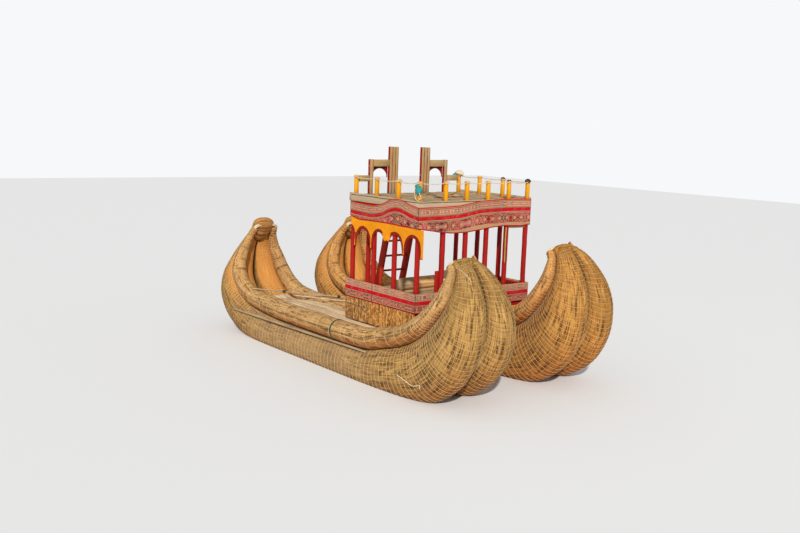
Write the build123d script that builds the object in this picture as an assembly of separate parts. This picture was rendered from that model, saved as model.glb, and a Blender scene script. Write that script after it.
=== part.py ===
from build123d import *
import math
import os

# Twin-hulled reed boat with a small two-storey wooden house. Millimetres.
# +X is the bow, +Y the port side, +Z up. The origin is midway along the boat,
# on its centre plane, level with the undersides of the reed bundles.

DRAFT = 300.0
STARBOARD_Y, PORT_Y = -1312.0, 1372.0

# Each hull: sections from the middle of the boat to the tip of each end.
# ox, oz the outer point of the bundles' oval, ix, iz the inner one, heights
# above water, b half width of the oval, c its offset from the hull's centre
# plane, r radius of a gunwale roll, g how far round the oval the roll lies in
# degrees, m thickness of the deck mat on the bundles, 0 where there is none.
HULL_MID = (0, -300, 0, 700, 410, 385, 212, 20, 310)
MID_BOW = (
    # ox, oz, ix, iz, b, c, r, g, m
    (1500, -300, 1500, 720, 410, 385, 212, 20, 300),
    (2200, -245, 2060, 850, 414, 389, 209, 20, 230),
    (2880, -130, 2530, 985, 424, 399, 202, 20, 120),
)
MID_STERN = (
    # ox, oz, ix, iz, b, c, r, g, m
    (1600, -300, 1600, 705, 410, 385, 212, 20, 300),
    (2300, -265, 2150, 740, 414, 389, 209, 20, 220),
)
STARBOARD_BOW = MID_BOW + (
    # ox, oz, ix, iz, b, c, r, g, m
    (3550, 80, 2910, 1140, 442, 416, 194, 20, 20),
    (4050, 460, 3250, 1350, 452, 425, 183, 20, 0),
    (4350, 1000, 3510, 1600, 436, 411, 169, 20, 0),
    (4420, 1520, 3690, 1860, 396, 371, 156, 22, 0),
    (4330, 1950, 3760, 2110, 328, 304, 140, 26, 0),
    (4130, 2330, 3730, 2300, 252, 233, 112, 40, 0),
    (3940, 2550, 3660, 2430, 187, 173, 88, 52, 0),
    (3760, 2680, 3530, 2520, 130, 120, 66, 58, 0),
)
STARBOARD_STERN = MID_STERN + (
    # ox, oz, ix, iz, b, c, r, g, m
    (3050, -165, 2640, 795, 420, 395, 202, 20, 90),
    (3700, 20, 3060, 885, 424, 399, 198, 20, 20),
    (4210, 340, 3490, 1100, 425, 400, 190, 20, 0),
    (4450, 840, 3750, 1380, 414, 389, 178, 20, 0),
    (4400, 1310, 3820, 1620, 372, 347, 162, 22, 0),
    (4200, 1770, 3830, 1910, 285, 262, 138, 27, 0),
    (3980, 2160, 3760, 2150, 204, 188, 112, 40, 0),
    (3790, 2440, 3625, 2360, 146, 134, 86, 52, 0),
    (3650, 2640, 3480, 2510, 108, 99, 64, 58, 0),
)
PORT_BOW = MID_BOW + (
    # ox, oz, ix, iz, b, c, r, g, m
    (3570, 75, 2930, 1150, 448, 421, 194, 20, 20),
    (4100, 450, 3290, 1370, 462, 435, 183, 20, 0),
    (4410, 1000, 3550, 1640, 452, 427, 169, 20, 0),
    (4480, 1560, 3720, 1930, 418, 393, 156, 22, 0),
    (4390, 2030, 3780, 2190, 352, 328, 140, 26, 0),
    (4170, 2420, 3730, 2395, 274, 255, 112, 40, 0),
    (3960, 2660, 3640, 2530, 205, 191, 88, 52, 0),
    (3760, 2790, 3510, 2630, 140, 130, 66, 54, 0),
)
PORT_STERN = MID_STERN + (
    # ox, oz, ix, iz, b, c, r, g, m
    (2960, -130, 2640, 795, 420, 395, 202, 20, 90),
    (3530, 80, 3050, 885, 424, 399, 197, 20, 20),
    (4040, 400, 3460, 1105, 425, 400, 187, 20, 0),
    (4350, 880, 3690, 1380, 418, 393, 175, 20, 0),
    (4360, 1330, 3740, 1615, 392, 367, 160, 22, 0),
    (4190, 1780, 3760, 1905, 318, 294, 139, 27, 0),
    (3950, 2150, 3690, 2130, 236, 218, 114, 40, 0),
    (3760, 2430, 3580, 2335, 160, 148, 88, 52, 0),
    (3620, 2600, 3440, 2470, 110, 101, 66, 58, 0),
)
STEPS = 2
SEAT = 0.3
MAT_GAP = 4.0
MAT_LEAST = 15.0
MAT_SHOULDER = 0.85
# Half width, radius and shift inward of the knots that close the tips.
BOW_CAP = (320.0, 130.0, 25.0)
STERN_CAP = (275.0, 150.0, 15.0)

# House: faces of its corner posts, heights above water.
HOUSE_STERN = 279.0
HOUSE_BOW = 2471.0
HOUSE_HALF = 1500.0
POST = 78.0
RAIL_POST = 72.0
LOG_R = 60.0
LOG_X = (HOUSE_STERN + 36, 1020, 1650, HOUSE_BOW - 221)
LOG_HALF = HOUSE_HALF - 30
BLOCK = 150.0
BLOCK_INSET = 188.0
FLOOR_Z = 1400.0
FLOOR_T = 70.0
LANDING_LENGTH, LANDING_Y = 609.0, 520.0
LANDING_X = HOUSE_STERN - LANDING_LENGTH
LANDING_LOG_X = LANDING_X + 80
LANDING_LOG_HALF = 860.0
UPPER_DECK_Z = 3480.0
UPPER_DECK_TOP = 3610.0
DECK_BEAM_H = 120.0
DECK_LIP = 20.0
JOIST_W, JOIST_H, JOISTS = 60.0, 80.0, 3
RAIL_POST_TOP = 4008.0
CORNER = POST / 2
STARBOARD_POST_X = (HOUSE_STERN + 76, 1075, 1736, HOUSE_BOW - CORNER)
PORT_POST_X = (HOUSE_STERN + CORNER, 1006, 1695)
BOW_POST_Y = (-835, -242, 326, 891)
STERN_POST_Y = (-1030, 1030)
STARBOARD_RAIL_X = (HOUSE_STERN + 136, 1107, 1801, HOUSE_BOW - CORNER)
PORT_RAIL_X = (HOUSE_STERN + CORNER, 995, 1711)
BOW_RAIL_Y = (-808, -254, 325, 912)
BRACE_T, BRACE_Z = 50.0, (3030.0, 3110.0)

BAND_T = 8.0
THATCH_T = 45.0
LOWER_BAND = (1490.0, 1870.0)
LOWER_BAND_STERN = HOUSE_STERN - 40
PARAPET_RAIL = 50.0
PARAPET_RAIL_Z = LOWER_BAND[1] - 70
BOW_THATCH_Z = LOWER_BAND[0] + 20
SKIRT_TOP = LOWER_BAND[1] - 30
# x of the starboard and port skirts' lower corners, which clear the deck mat
SKIRT_X = (HOUSE_STERN - 35, 700, 1100, 1500, 1900, 2300, HOUSE_BOW)
SKIRT_GAP = 8.0
SKIRT_REACH = 200.0
# x or y along the face, z of the upper band's wavy edges
UPPER_BAND_STARBOARD = ((HOUSE_STERN + 30, 3475), (574, 3461), (982, 3446), (1180, 3461),
                        (1388, 3507), (1585, 3592), (1777, 3637), (1962, 3635),
                        (2268, 3554), (HOUSE_BOW + DECK_LIP, 3520))
UPPER_BAND_STARBOARD_LOW = ((HOUSE_STERN + 30, 3175), (620, 3115), (1450, 3130),
                            (HOUSE_BOW + DECK_LIP, 3110))
SIDE = HOUSE_HALF + DECK_LIP + BAND_T
UPPER_BAND_BOW = ((-SIDE, 3520), (-970, 3520), (-460, 3540), (100, 3620),
                  (800, 3640), (SIDE, 3630))
UPPER_BAND_BOW_LOW = ((-SIDE, 3110), (-1177, 3060), (-972, 3026), (-661, 2994), (-290, 2995),
                      (87, 3031), (447, 3070), (788, 3087), (1229, 3063), (SIDE, 3087))

# Plywood panel: x of the cusps between its arches, heights of the arches.
ARCH_X = (478, 1029, 1522, 2068, HOUSE_BOW + 133)
ARCH_FOOT = 2550.0
ARCH_RISE = 410.0
ARCH_STERN_X = HOUSE_STERN - 60
BROKEN_CUSP, BROKEN_CUSP_Z = 2, ARCH_FOOT + 235
ARCH_PANEL_STERN = HOUSE_STERN + 66
ARCH_PANEL_TOP, ARCH_PANEL_BOW_TOP = 3165.0, 3100.0
ARCH_PANEL_T = 15.0
PENDANT = 40.0
BROKEN_HALF = 120.0

TALL_POST_Y, TALL_POST_W, TALL_POST_TOP = 440.0, 240.0, 4595.0
STEP_POST_Y, STEP_POST_W, STEP_POST_TOP = 1030.0, 95.0, 4325.0
MID_BEAM_Z = (4175.0, 4320.0)
LOW_BEAM_Z = (3865.0, 3990.0)
GATE_T = 70.0
GATE_ARCH_T = 15.0
GATE_ARCH_DROP, GATE_ARCH_RISE, GATE_ARCH_EDGE = 230.0, 190.0, 12.0

LADDER_Y = 340.0
LADDER_FOOT = (-236.0, 1470.0)
LADDER_TOP = (225.0, 3500.0)
STRINGER = (135.0, 45.0)
RUNG = (45.0, 40.0)
RUNGS, RUNG_Z, RUNG_RISE = 5, 1858.0, 339.0

BENCH_X, BENCH_Y, BENCH_R = 500.0, (-270.0, 760.0), 135.0
BENCH_BOARD = (190.0, 50.0)
SHELF_X, SHELF_Y, SHELF_T = HOUSE_BOW - 161, (-905.0, -775.0, -590.0), 40.0
SHELF_Z = (2090.0, 2250.0)
SIDE_BOARD_Y, SIDE_BOARD_LOW, SIDE_BOARD_T = (HOUSE_HALF - 390, HOUSE_HALF - 200), 1150.0, 25.0

# Ends of the two loose poles: x, y from the hull's centre plane, z.
SIDE_POLE_R = 24.0
SIDE_POLE = ((-3450.0, -839.8, 600.0), (1620.0, -684.3, 618.0))
DECK_POLE_R = 16.0
DECK_POLE = ((-2800.0, -700.0, 1176.6), (-1280.0, 860.0, 1081.5))

os.makedirs("parts", exist_ok=True)


def block(x0, x1, y0, y1, z0, z1):
    """Box between two corners, heights above water."""
    size = (x1 - x0, y1 - y0, z1 - z0)
    middle = ((x0 + x1) / 2, (y0 + y1) / 2, (z0 + z1) / 2 + DRAFT)
    return Pos(*middle) * Box(*size)


def put(name, *shapes):
    """Write one node; several solids that do not touch may share it."""
    solids = []
    for shape in shapes:
        solids.extend(shape.solids())
    export_step(solids[0] if len(solids) == 1 else Compound(children=solids),
                "parts/" + name + ".step")
    print(name, len(solids), round(sum(s.volume for s in solids) / 1e9, 4))


def blend(rows, steps, span):
    """Smooth curve through rows of numbers, spaced by their first ones: values and rates."""
    at = [0.0]
    for one, two in zip(rows, rows[1:]):
        at.append(at[-1] + math.dist(one[:span], two[:span]))
    last = len(rows) - 1
    slopes = []
    for i, row in enumerate(rows):
        low, high = max(i - 1, 0), min(i + 1, last)
        slopes.append([0.0 if 0 < i < last and (v - p) * (n - v) <= 0
                       else (n - p) / (at[high] - at[low])
                       for p, v, n in zip(rows[low], row, rows[high])])
    found = []
    for i in range(last * steps + 1):
        k = min(i // steps, last - 1)
        u = i / steps - k
        gap = at[k + 1] - at[k]
        values, rates = [], []
        for p0, p1, d0, d1 in zip(rows[k], rows[k + 1], slopes[k], slopes[k + 1]):
            d0, d1 = d0 * gap, d1 * gap
            c2, c3 = 3 * (p1 - p0) - 2 * d0 - d1, 2 * (p0 - p1) + d0 + d1
            values.append(p0 + u * (d0 + u * (c2 + u * c3)))
            rates.append(d0 + u * (2 * c2 + 3 * u * c3))
        found.append((values, rates))
    return found


def stations(stern, bow):
    """Section planes and sizes of a hull's bundles from the stern tip to the bow tip."""
    rows = [(-row[0], row[1], -row[2], row[3]) + row[4:] for row in reversed(stern)]
    rows.append(HULL_MID)
    rows += list(bow)
    found = []
    for values, _ in blend(rows, STEPS, 4):
        ox, oz, ix, iz = values[:4]
        middle = ((ox + ix) / 2, 0, (oz + iz) / 2 + DRAFT)
        plane = Plane(origin=middle, x_dir=(0, 1, 0), z_dir=(iz - oz, 0, ox - ix))
        found.append((plane, [math.hypot(ix - ox, iz - oz) / 2] + values[4:]))
    return found


def bundle(sections):
    """Right main bundle: an oval, flat where it presses on its twin, bent up at both ends."""
    faces = []
    for plane, (a, b, c, r, g, m) in sections:
        flat = math.degrees(math.acos(c / b))
        arc = EllipticalCenterArc((-c, 0), b, a, start_angle=flat, arc_size=360 - 2 * flat)
        faces.append(plane * make_face(arc + Line(arc @ 1, arc @ 0)))
    return loft(faces, ruled=True).solid()


def roll_centre(a, b, c, r, g):
    """Across and up offset of a roll that lies on the oval at g degrees."""
    angle = math.radians(g)
    across, up = math.sin(angle) / b, math.cos(angle) / a
    reach = (r + SEAT) / math.hypot(across, up)
    return c + b * math.sin(angle) + across * reach, a * math.cos(angle) + up * reach


def roll(sections):
    """Right gunwale roll, along the deck edge and up both ends."""
    rows = []
    for plane, (a, b, c, r, g, m) in sections:
        across, up = roll_centre(a, b, c, r, g)
        spot = plane.from_local_coords((-across, up, 0))
        rows.append((spot.X, spot.Y, spot.Z, r))
    discs = []
    for values, rates in blend(rows, 1, 3):
        plane = Plane(origin=values[:3], x_dir=(0, 1, 0), z_dir=rates[:3])
        discs.append(plane * Circle(values[3]))
    for i in (0, -1):
        square = Plane(origin=rows[i][:3], x_dir=(0, 1, 0), z_dir=sections[i][0].z_dir)
        discs[i] = square * Circle(rows[i][3])
    return loft(discs, ruled=True).solid()


def deck_mat(sections):
    """Reed mat between the rolls, thin where it runs out up the ends."""
    faces = []
    for plane, (a, b, c, r, g, m) in sections:
        if m > MAT_LEAST:
            wide = roll_centre(a, b, c, r, g)[0] - r - MAT_GAP
            low = a + SEAT
            shoulder = low + MAT_SHOULDER * m
            crown = ThreePointArc((wide, shoulder), (0, low + m), (-wide, shoulder))
            rest = Polyline(crown @ 1, (-wide, low), (wide, low), crown @ 0)
            faces.append(plane * make_face(crown + rest))
    return loft(faces, ruled=True).solid()


def cap(plane, end, half_width, radius, inward):
    """Rounded knot that closes a tip, flat on the ends of the bundles and rolls."""
    outline = make_face(
        EllipticalCenterArc((0, 0), half_width, radius, start_angle=0, arc_size=180)
        + Line((-half_width, 0), (half_width, 0)))
    dome = Rot(90 * (1 + end), 0, 0) * revolve(outline, Axis.X, 180)
    return plane * Pos(0, inward, 0) * dome


starboard_sections = stations(STARBOARD_STERN, STARBOARD_BOW)
port_sections = stations(PORT_STERN, PORT_BOW)
for hull, hull_y, sections in (("starboard", STARBOARD_Y, starboard_sections),
                               ("port", PORT_Y, port_sections)):
    right_bundle, right_roll = bundle(sections), roll(sections)
    shapes = {"bundle_left": mirror(right_bundle, Plane.XZ), "bundle_right": right_bundle,
              "roll_left": mirror(right_roll, Plane.XZ), "roll_right": right_roll,
              "deck_mat": deck_mat(sections),
              "bow_cap": cap(sections[-1][0], 1, *BOW_CAP),
              "stern_cap": cap(sections[0][0], -1, *STERN_CAP)}
    for name, shape in shapes.items():
        put(hull + "_" + name, Pos(0, hull_y, 0) * shape)


def height_at(x, crest):
    """Height above water of a line of points at x."""
    for (x0, z0), (x1, z1) in zip(crest, crest[1:]):
        if x0 <= x <= x1:
            return z0 + (z1 - z0) * (x - x0) / (x1 - x0)
    return crest[0][1]


deck_crest, roll_crest = [], []
for plane, (a, b, c, r, g, m) in starboard_sections:
    if m > MAT_LEAST:
        spot = plane.from_local_coords((0, a + SEAT + m, 0))
        deck_crest.append((spot.X, spot.Z - DRAFT))
        spot = plane.from_local_coords((0, roll_centre(a, b, c, r, g)[1], 0))
        roll_crest.append((spot.X, spot.Z - DRAFT + r))


def deck_height(x0, x1):
    """Greatest height above water of the deck mats between x0 and x1."""
    return max(height_at(x0 + (x1 - x0) * i / 8, deck_crest) for i in range(9))


block_y = HOUSE_HALF - BLOCK_INSET
logs, blocks = [], []
for x in LOG_X:
    logs.append(Pos(x, 0, FLOOR_Z - LOG_R + DRAFT) * Rot(90, 0, 0)
                * Cylinder(LOG_R, 2 * LOG_HALF))
    low = deck_height(x - BLOCK / 2, x + BLOCK / 2)
    for y in (-block_y, block_y):
        blocks.append(block(x - BLOCK / 2, x + BLOCK / 2, y - BLOCK / 2, y + BLOCK / 2,
                            low, FLOOR_Z - 2 * LOG_R))
landing_log_z = height_at(LANDING_LOG_X, roll_crest) + SEAT + LOG_R
logs.append(Pos(LANDING_LOG_X, 0, landing_log_z + DRAFT) * Rot(90, 0, 0)
            * Cylinder(LOG_R, 2 * LANDING_LOG_HALF))
for y in (-LANDING_Y + BLOCK / 2, LANDING_Y - BLOCK / 2):
    blocks.append(block(LANDING_LOG_X - LOG_R, LANDING_LOG_X + LOG_R, y - BLOCK / 2, y + BLOCK / 2,
                        landing_log_z + LOG_R, FLOOR_Z))
put("cross_logs", *logs)
put("log_blocks", *blocks)
sill = block(HOUSE_STERN, HOUSE_BOW, -HOUSE_HALF, HOUSE_HALF, FLOOR_Z, FLOOR_Z + FLOOR_T)
inside = block(HOUSE_STERN + POST, HOUSE_BOW - POST, -HOUSE_HALF + POST,
               HOUSE_HALF - POST, FLOOR_Z - 1, FLOOR_Z + FLOOR_T + 1)
put("sill_frame", sill - inside)
put("floor_mat", block(HOUSE_STERN + POST, HOUSE_BOW - POST, -HOUSE_HALF + POST,
                       HOUSE_HALF - POST, FLOOR_Z, FLOOR_Z + FLOOR_T))
put("stern_landing", block(LANDING_X, HOUSE_STERN, -LANDING_Y, LANDING_Y,
                           FLOOR_Z, FLOOR_Z + FLOOR_T))

post_y = HOUSE_HALF - CORNER
bow_x = HOUSE_BOW - CORNER
beam_z = UPPER_DECK_Z - DECK_BEAM_H


def posts(starboard, bow, port, size, z0, z1):
    """Square posts round three sides, from their places along each side."""
    spots = [(x, -post_y) for x in starboard] + [(bow_x, y) for y in bow]
    spots += [(bow_x, post_y)] + [(x, post_y) for x in port]
    return [block(x - size / 2, x + size / 2, y - size / 2, y + size / 2, z0, z1)
            for x, y in spots]


put("house_posts", *posts(STARBOARD_POST_X, BOW_POST_Y, PORT_POST_X, POST,
                          FLOOR_Z + FLOOR_T, beam_z))
put("stern_posts", *[block(HOUSE_STERN, HOUSE_STERN + POST, y - CORNER, y + CORNER,
                           FLOOR_Z + FLOOR_T, beam_z) for y in STERN_POST_Y])
put("rail_posts", *posts(STARBOARD_RAIL_X, BOW_RAIL_Y, PORT_RAIL_X, RAIL_POST,
                         UPPER_DECK_TOP, RAIL_POST_TOP))
put("bow_brace", block(bow_x - BRACE_T / 2, bow_x + BRACE_T / 2,
                       BOW_POST_Y[3] + CORNER, post_y - CORNER, *BRACE_Z))

frame = block(HOUSE_STERN, HOUSE_BOW, -HOUSE_HALF, HOUSE_HALF, beam_z, UPPER_DECK_Z)
frame -= block(HOUSE_STERN + POST, HOUSE_BOW - POST, -HOUSE_HALF + POST,
               HOUSE_HALF - POST, beam_z - 1, UPPER_DECK_Z + 1)
put("upper_deck_frame", frame)
joists = []
for i in range(JOISTS):
    x = HOUSE_STERN + (HOUSE_BOW - HOUSE_STERN) * (i + 1) / (JOISTS + 1)
    joists.append(block(x - JOIST_W / 2, x + JOIST_W / 2, -HOUSE_HALF + POST,
                        HOUSE_HALF - POST, UPPER_DECK_Z - JOIST_H, UPPER_DECK_Z))
put("upper_joists", *joists)
put("upper_deck", block(HOUSE_STERN - DECK_LIP, HOUSE_BOW + DECK_LIP, -HOUSE_HALF - DECK_LIP,
                        HOUSE_HALF + DECK_LIP, UPPER_DECK_Z, UPPER_DECK_TOP))

# Parapet round three sides of the lower storey: rails, thatch, cloth band.
half_rail = PARAPET_RAIL / 2
rails = []
for y, xs in ((-post_y, STARBOARD_POST_X), (post_y, PORT_POST_X + (bow_x,))):
    for x0, x1 in zip(xs, xs[1:]):
        rails.append(block(x0 + CORNER, x1 - CORNER, y - half_rail, y + half_rail,
                           PARAPET_RAIL_Z, PARAPET_RAIL_Z + PARAPET_RAIL))
ys = (-post_y,) + BOW_POST_Y + (post_y,)
for y0, y1 in zip(ys, ys[1:]):
    rails.append(block(bow_x - half_rail, bow_x + half_rail, y0 + CORNER, y1 - CORNER,
                       PARAPET_RAIL_Z, PARAPET_RAIL_Z + PARAPET_RAIL))
put("parapet_rails", *rails)

outer = HOUSE_HALF + THATCH_T
skirt = [(x, deck_height(x - SKIRT_REACH, x + SKIRT_REACH) + SKIRT_GAP) for x in SKIRT_X]
skirt = skirt + [(SKIRT_X[-1], SKIRT_TOP), (SKIRT_X[0], SKIRT_TOP)]
skirt = Polyline(*[(x, z + DRAFT) for x, z in skirt], close=True)
skirt = extrude(Plane.XZ * make_face(skirt), THATCH_T)
put("thatch_starboard", Pos(0, -HOUSE_HALF, 0) * skirt)
put("thatch_port", Pos(0, outer, 0) * skirt)
put("thatch_bow", block(HOUSE_BOW, HOUSE_BOW + THATCH_T, -outer, HOUSE_HALF,
                        BOW_THATCH_Z, SKIRT_TOP))
put("lower_band_starboard", block(LOWER_BAND_STERN, HOUSE_BOW + THATCH_T,
                                  -outer - BAND_T, -outer, *LOWER_BAND))
put("lower_band_port", block(LOWER_BAND_STERN, HOUSE_BOW + THATCH_T,
                             outer, outer + BAND_T, *LOWER_BAND))
put("lower_band_bow", block(HOUSE_BOW + THATCH_T, HOUSE_BOW + THATCH_T + BAND_T,
                            -outer - BAND_T, outer + BAND_T, *LOWER_BAND))


def band_plate(top, low):
    """Cloth band: flat strip with wavy edges, drawn along X."""
    points = list(top) + list(reversed(low))
    edge = Polyline(*[(u, z + DRAFT) for u, z in points], close=True)
    return extrude(Plane.XZ * make_face(edge), BAND_T)


band_y = HOUSE_HALF + DECK_LIP
starboard_band = band_plate(UPPER_BAND_STARBOARD, UPPER_BAND_STARBOARD_LOW)
put("upper_band_starboard", Pos(0, -band_y, 0) * starboard_band)
put("upper_band_port", Pos(0, band_y + BAND_T, 0) * starboard_band)
bow_band = Rot(0, 0, 90) * band_plate(UPPER_BAND_BOW, UPPER_BAND_BOW_LOW)
put("upper_band_bow", Pos(HOUSE_BOW + DECK_LIP, 0, 0) * bow_band)

# Plywood panel with four arches under the starboard edge of the upper deck.
panel_y = (-HOUSE_HALF - ARCH_PANEL_T, -HOUSE_HALF)
panel = block(ARCH_PANEL_STERN, ARCH_X[-1] + PENDANT / 2, *panel_y, ARCH_FOOT, ARCH_PANEL_TOP)
panel -= block(HOUSE_BOW + DECK_LIP - BAND_T, ARCH_X[-1] + PENDANT, *panel_y,
               ARCH_PANEL_BOW_TOP, ARCH_PANEL_TOP)
arch_edges = (ARCH_STERN_X,) + ARCH_X
for x0, x1 in zip(arch_edges, arch_edges[1:]):
    half = (x1 - x0 - PENDANT) / 2
    arch = Ellipse(half, ARCH_RISE)
    panel -= (Pos((x0 + x1) / 2, -HOUSE_HALF, ARCH_FOOT + DRAFT) * Rot(90, 0, 0)
              * extrude(arch, ARCH_PANEL_T))
broken = ARCH_X[BROKEN_CUSP]
panel -= block(broken - BROKEN_HALF, broken + BROKEN_HALF, *panel_y, ARCH_FOOT, BROKEN_CUSP_Z)
put("arch_panel", panel.solids().sort_by(SortBy.VOLUME)[-1])

# Stepped gate on the stern edge of the upper deck.
gate_x = (HOUSE_STERN, HOUSE_STERN + GATE_T)
tall, step, mids, lows, arches = [], [], [], [], []
for s in (-1, 1):
    def gate_block(y0, y1, z0, z1):
        """Block of the gate frame between two distances from the centre."""
        return block(*gate_x, *sorted((s * y0, s * y1)), z0, z1)

    y_tall = (TALL_POST_Y - TALL_POST_W / 2, TALL_POST_Y + TALL_POST_W / 2)
    y_step = (STEP_POST_Y - STEP_POST_W / 2, STEP_POST_Y + STEP_POST_W / 2)
    tall.append(gate_block(*y_tall, UPPER_DECK_TOP, TALL_POST_TOP))
    step.append(gate_block(*y_step, UPPER_DECK_TOP, STEP_POST_TOP))
    mids.append(gate_block(y_tall[1], y_step[0], *MID_BEAM_Z))
    lows.append(gate_block(y_step[1], HOUSE_HALF - POST, *LOW_BEAM_Z))
    board = block(HOUSE_STERN - GATE_ARCH_T, HOUSE_STERN, *sorted((s * y_tall[1], s * y_step[0])),
                  MID_BEAM_Z[0] - GATE_ARCH_DROP, MID_BEAM_Z[0])
    hole = Ellipse((y_step[0] - y_tall[1]) / 2 - GATE_ARCH_EDGE, GATE_ARCH_RISE)
    board -= (Pos(HOUSE_STERN - GATE_ARCH_T, s * (y_tall[1] + y_step[0]) / 2,
                  MID_BEAM_Z[0] - GATE_ARCH_DROP + DRAFT)
              * Rot(0, 0, 90) * Rot(90, 0, 0) * extrude(hole, GATE_ARCH_T))
    arches.append(board)
put("gate_tall_posts", *tall)
put("gate_step_posts", *step)
put("gate_mid_beams", *mids)
put("gate_low_beams", *lows)
put("gate_arches", *arches)

# Ladder leaning on the stern edge of the upper deck.
run = LADDER_TOP[0] - LADDER_FOOT[0]
rise = LADDER_TOP[1] - LADDER_FOOT[1]
lean = math.degrees(math.atan2(run, rise))
length = math.hypot(run, rise)
stringers, rungs = [], []
for s in (-1, 1):
    bar = Pos(0, s * LADDER_Y, length / 2) * Box(STRINGER[0], STRINGER[1], length)
    stringers.append(Pos(LADDER_FOOT[0], 0, LADDER_FOOT[1] + DRAFT) * Rot(0, lean, 0) * bar)
wide = LADDER_Y + STRINGER[1]
below = block(LANDING_X, HOUSE_STERN, -wide, wide, FLOOR_Z, LADDER_FOOT[1])
behind = block(HOUSE_STERN - DECK_LIP, HOUSE_BOW, -wide, wide, FLOOR_Z, RAIL_POST_TOP)
put("ladder_stringers", *[bar - below - behind for bar in stringers])
for i in range(RUNGS):
    up_z = RUNG_Z + i * RUNG_RISE
    along_x = LADDER_FOOT[0] + run * (up_z - LADDER_FOOT[1]) / rise
    rung = Rot(0, lean, 0) * Box(RUNG[0], 2 * LADDER_Y - STRINGER[1], RUNG[1])
    rungs.append(Pos(along_x, 0, up_z + DRAFT) * rung)
put("ladder_rungs", *rungs)

# Loose things in the cabin and on the starboard hull.
bench_low = FLOOR_Z + FLOOR_T
bench_long = BENCH_Y[1] - BENCH_Y[0]
put("bench_board", block(BENCH_X - BENCH_BOARD[0] / 2, BENCH_X + BENCH_BOARD[0] / 2, *BENCH_Y,
                         bench_low, bench_low + BENCH_BOARD[1]))
put("bench_roll", Pos(BENCH_X, sum(BENCH_Y) / 2, bench_low + BENCH_BOARD[1] + BENCH_R + DRAFT)
    * Rot(90, 0, 0) * Cylinder(BENCH_R, bench_long))
put("shelf_upright", block(SHELF_X, SHELF_X + SHELF_T, SHELF_Y[0], SHELF_Y[1],
                           bench_low, SHELF_Z[1]))
put("shelf_board", block(SHELF_X, SHELF_X + SHELF_T, SHELF_Y[1], SHELF_Y[2], *SHELF_Z))
put("side_board", block(HOUSE_BOW - SIDE_BOARD_T, HOUSE_BOW, *SIDE_BOARD_Y,
                        SIDE_BOARD_LOW, FLOOR_Z))


def pole(ends, radius):
    """Straight round pole between two points by the starboard hull."""
    start, finish = [Vector(x, y + STARBOARD_Y, z + DRAFT) for x, y, z in ends]
    line = finish - start
    return extrude(Plane(origin=start, z_dir=line) * Circle(radius), line.length)


put("side_pole", pole(SIDE_POLE, SIDE_POLE_R))
put("deck_pole", pole(DECK_POLE, DECK_POLE_R))
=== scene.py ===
import bpy
import bmesh
import math
import numpy as np
from mathutils import Matrix, Vector


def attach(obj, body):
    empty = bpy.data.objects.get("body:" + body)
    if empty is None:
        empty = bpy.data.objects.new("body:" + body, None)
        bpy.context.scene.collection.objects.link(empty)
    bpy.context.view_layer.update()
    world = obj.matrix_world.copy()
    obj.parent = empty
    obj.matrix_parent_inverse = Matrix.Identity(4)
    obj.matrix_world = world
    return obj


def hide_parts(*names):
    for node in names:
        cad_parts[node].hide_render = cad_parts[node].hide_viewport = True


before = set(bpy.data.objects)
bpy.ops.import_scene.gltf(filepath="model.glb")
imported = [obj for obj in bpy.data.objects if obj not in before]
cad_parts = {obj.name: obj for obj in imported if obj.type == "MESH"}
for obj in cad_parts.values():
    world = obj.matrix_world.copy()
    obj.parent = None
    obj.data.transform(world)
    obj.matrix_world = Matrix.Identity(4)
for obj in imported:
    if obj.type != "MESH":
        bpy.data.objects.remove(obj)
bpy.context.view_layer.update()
scene = bpy.context.scene

# Metres. The floor stands for the water, this far above the boat's underside.
DRAFT = 0.300
STARBOARD_Y, PORT_Y = -1.312, 1.372

# Camera, fitted to the photograph.
CAMERA_SPOT = (15.363736, -12.377899, 4.970165 + DRAFT)
CAMERA_AZIMUTH, CAMERA_PITCH, CAMERA_ROLL = 0.8887324, 0.1516591, 0.0352776
CAMERA_SENSOR, CAMERA_LENS = 36.0, 40.5225

FLOOR_HALF, FLOOR_COLOR, FLOOR_ROUGH = 60.0, (0.84, 0.84, 0.84), 0.95
SUN_FROM, SUN_ENERGY, SUN_ANGLE = (8.1, -6.8, 5.8), 3.4, 2.0
FILL_FROM, FILL_AIM, FILL_ENERGY, FILL_SIZE = (14.0, 6.0, 9.0), (0.0, 0.0, 2.0), 70.0, 12.0
SUN_TINT = (1.0, 0.97, 0.92)
SKY_LIGHT, SKY_TINT, BACKDROP = 0.46, (0.92, 0.96, 1.0, 1), (0.93, 0.94, 0.95, 1)
SHINE = 0.12

# The hulls, as in the part's source, from the middle to the tips: outer and
# inner point of the bundles' oval, its half width and offset, roll radius and
# angle, mat thickness: ox, oz, ix, iz, b, c, r, g, m.
HULL_MID = (0, -300, 0, 700, 410, 385, 212, 20, 310)
MID_BOW = (
    (1500, -300, 1500, 720, 410, 385, 212, 20, 300),
    (2200, -245, 2060, 850, 414, 389, 209, 20, 230),
    (2880, -130, 2530, 985, 424, 399, 202, 20, 120),
)
MID_STERN = (
    (1600, -300, 1600, 705, 410, 385, 212, 20, 300),
    (2300, -265, 2150, 740, 414, 389, 209, 20, 220),
)
STARBOARD_BOW = MID_BOW + (
    (3550, 80, 2910, 1140, 442, 416, 194, 20, 20),
    (4050, 460, 3250, 1350, 452, 425, 183, 20, 0),
    (4350, 1000, 3510, 1600, 436, 411, 169, 20, 0),
    (4420, 1520, 3690, 1860, 396, 371, 156, 22, 0),
    (4330, 1950, 3760, 2110, 328, 304, 140, 26, 0),
    (4130, 2330, 3730, 2300, 252, 233, 112, 40, 0),
    (3940, 2550, 3660, 2430, 187, 173, 88, 52, 0),
    (3760, 2680, 3530, 2520, 130, 120, 66, 58, 0),
)
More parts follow.
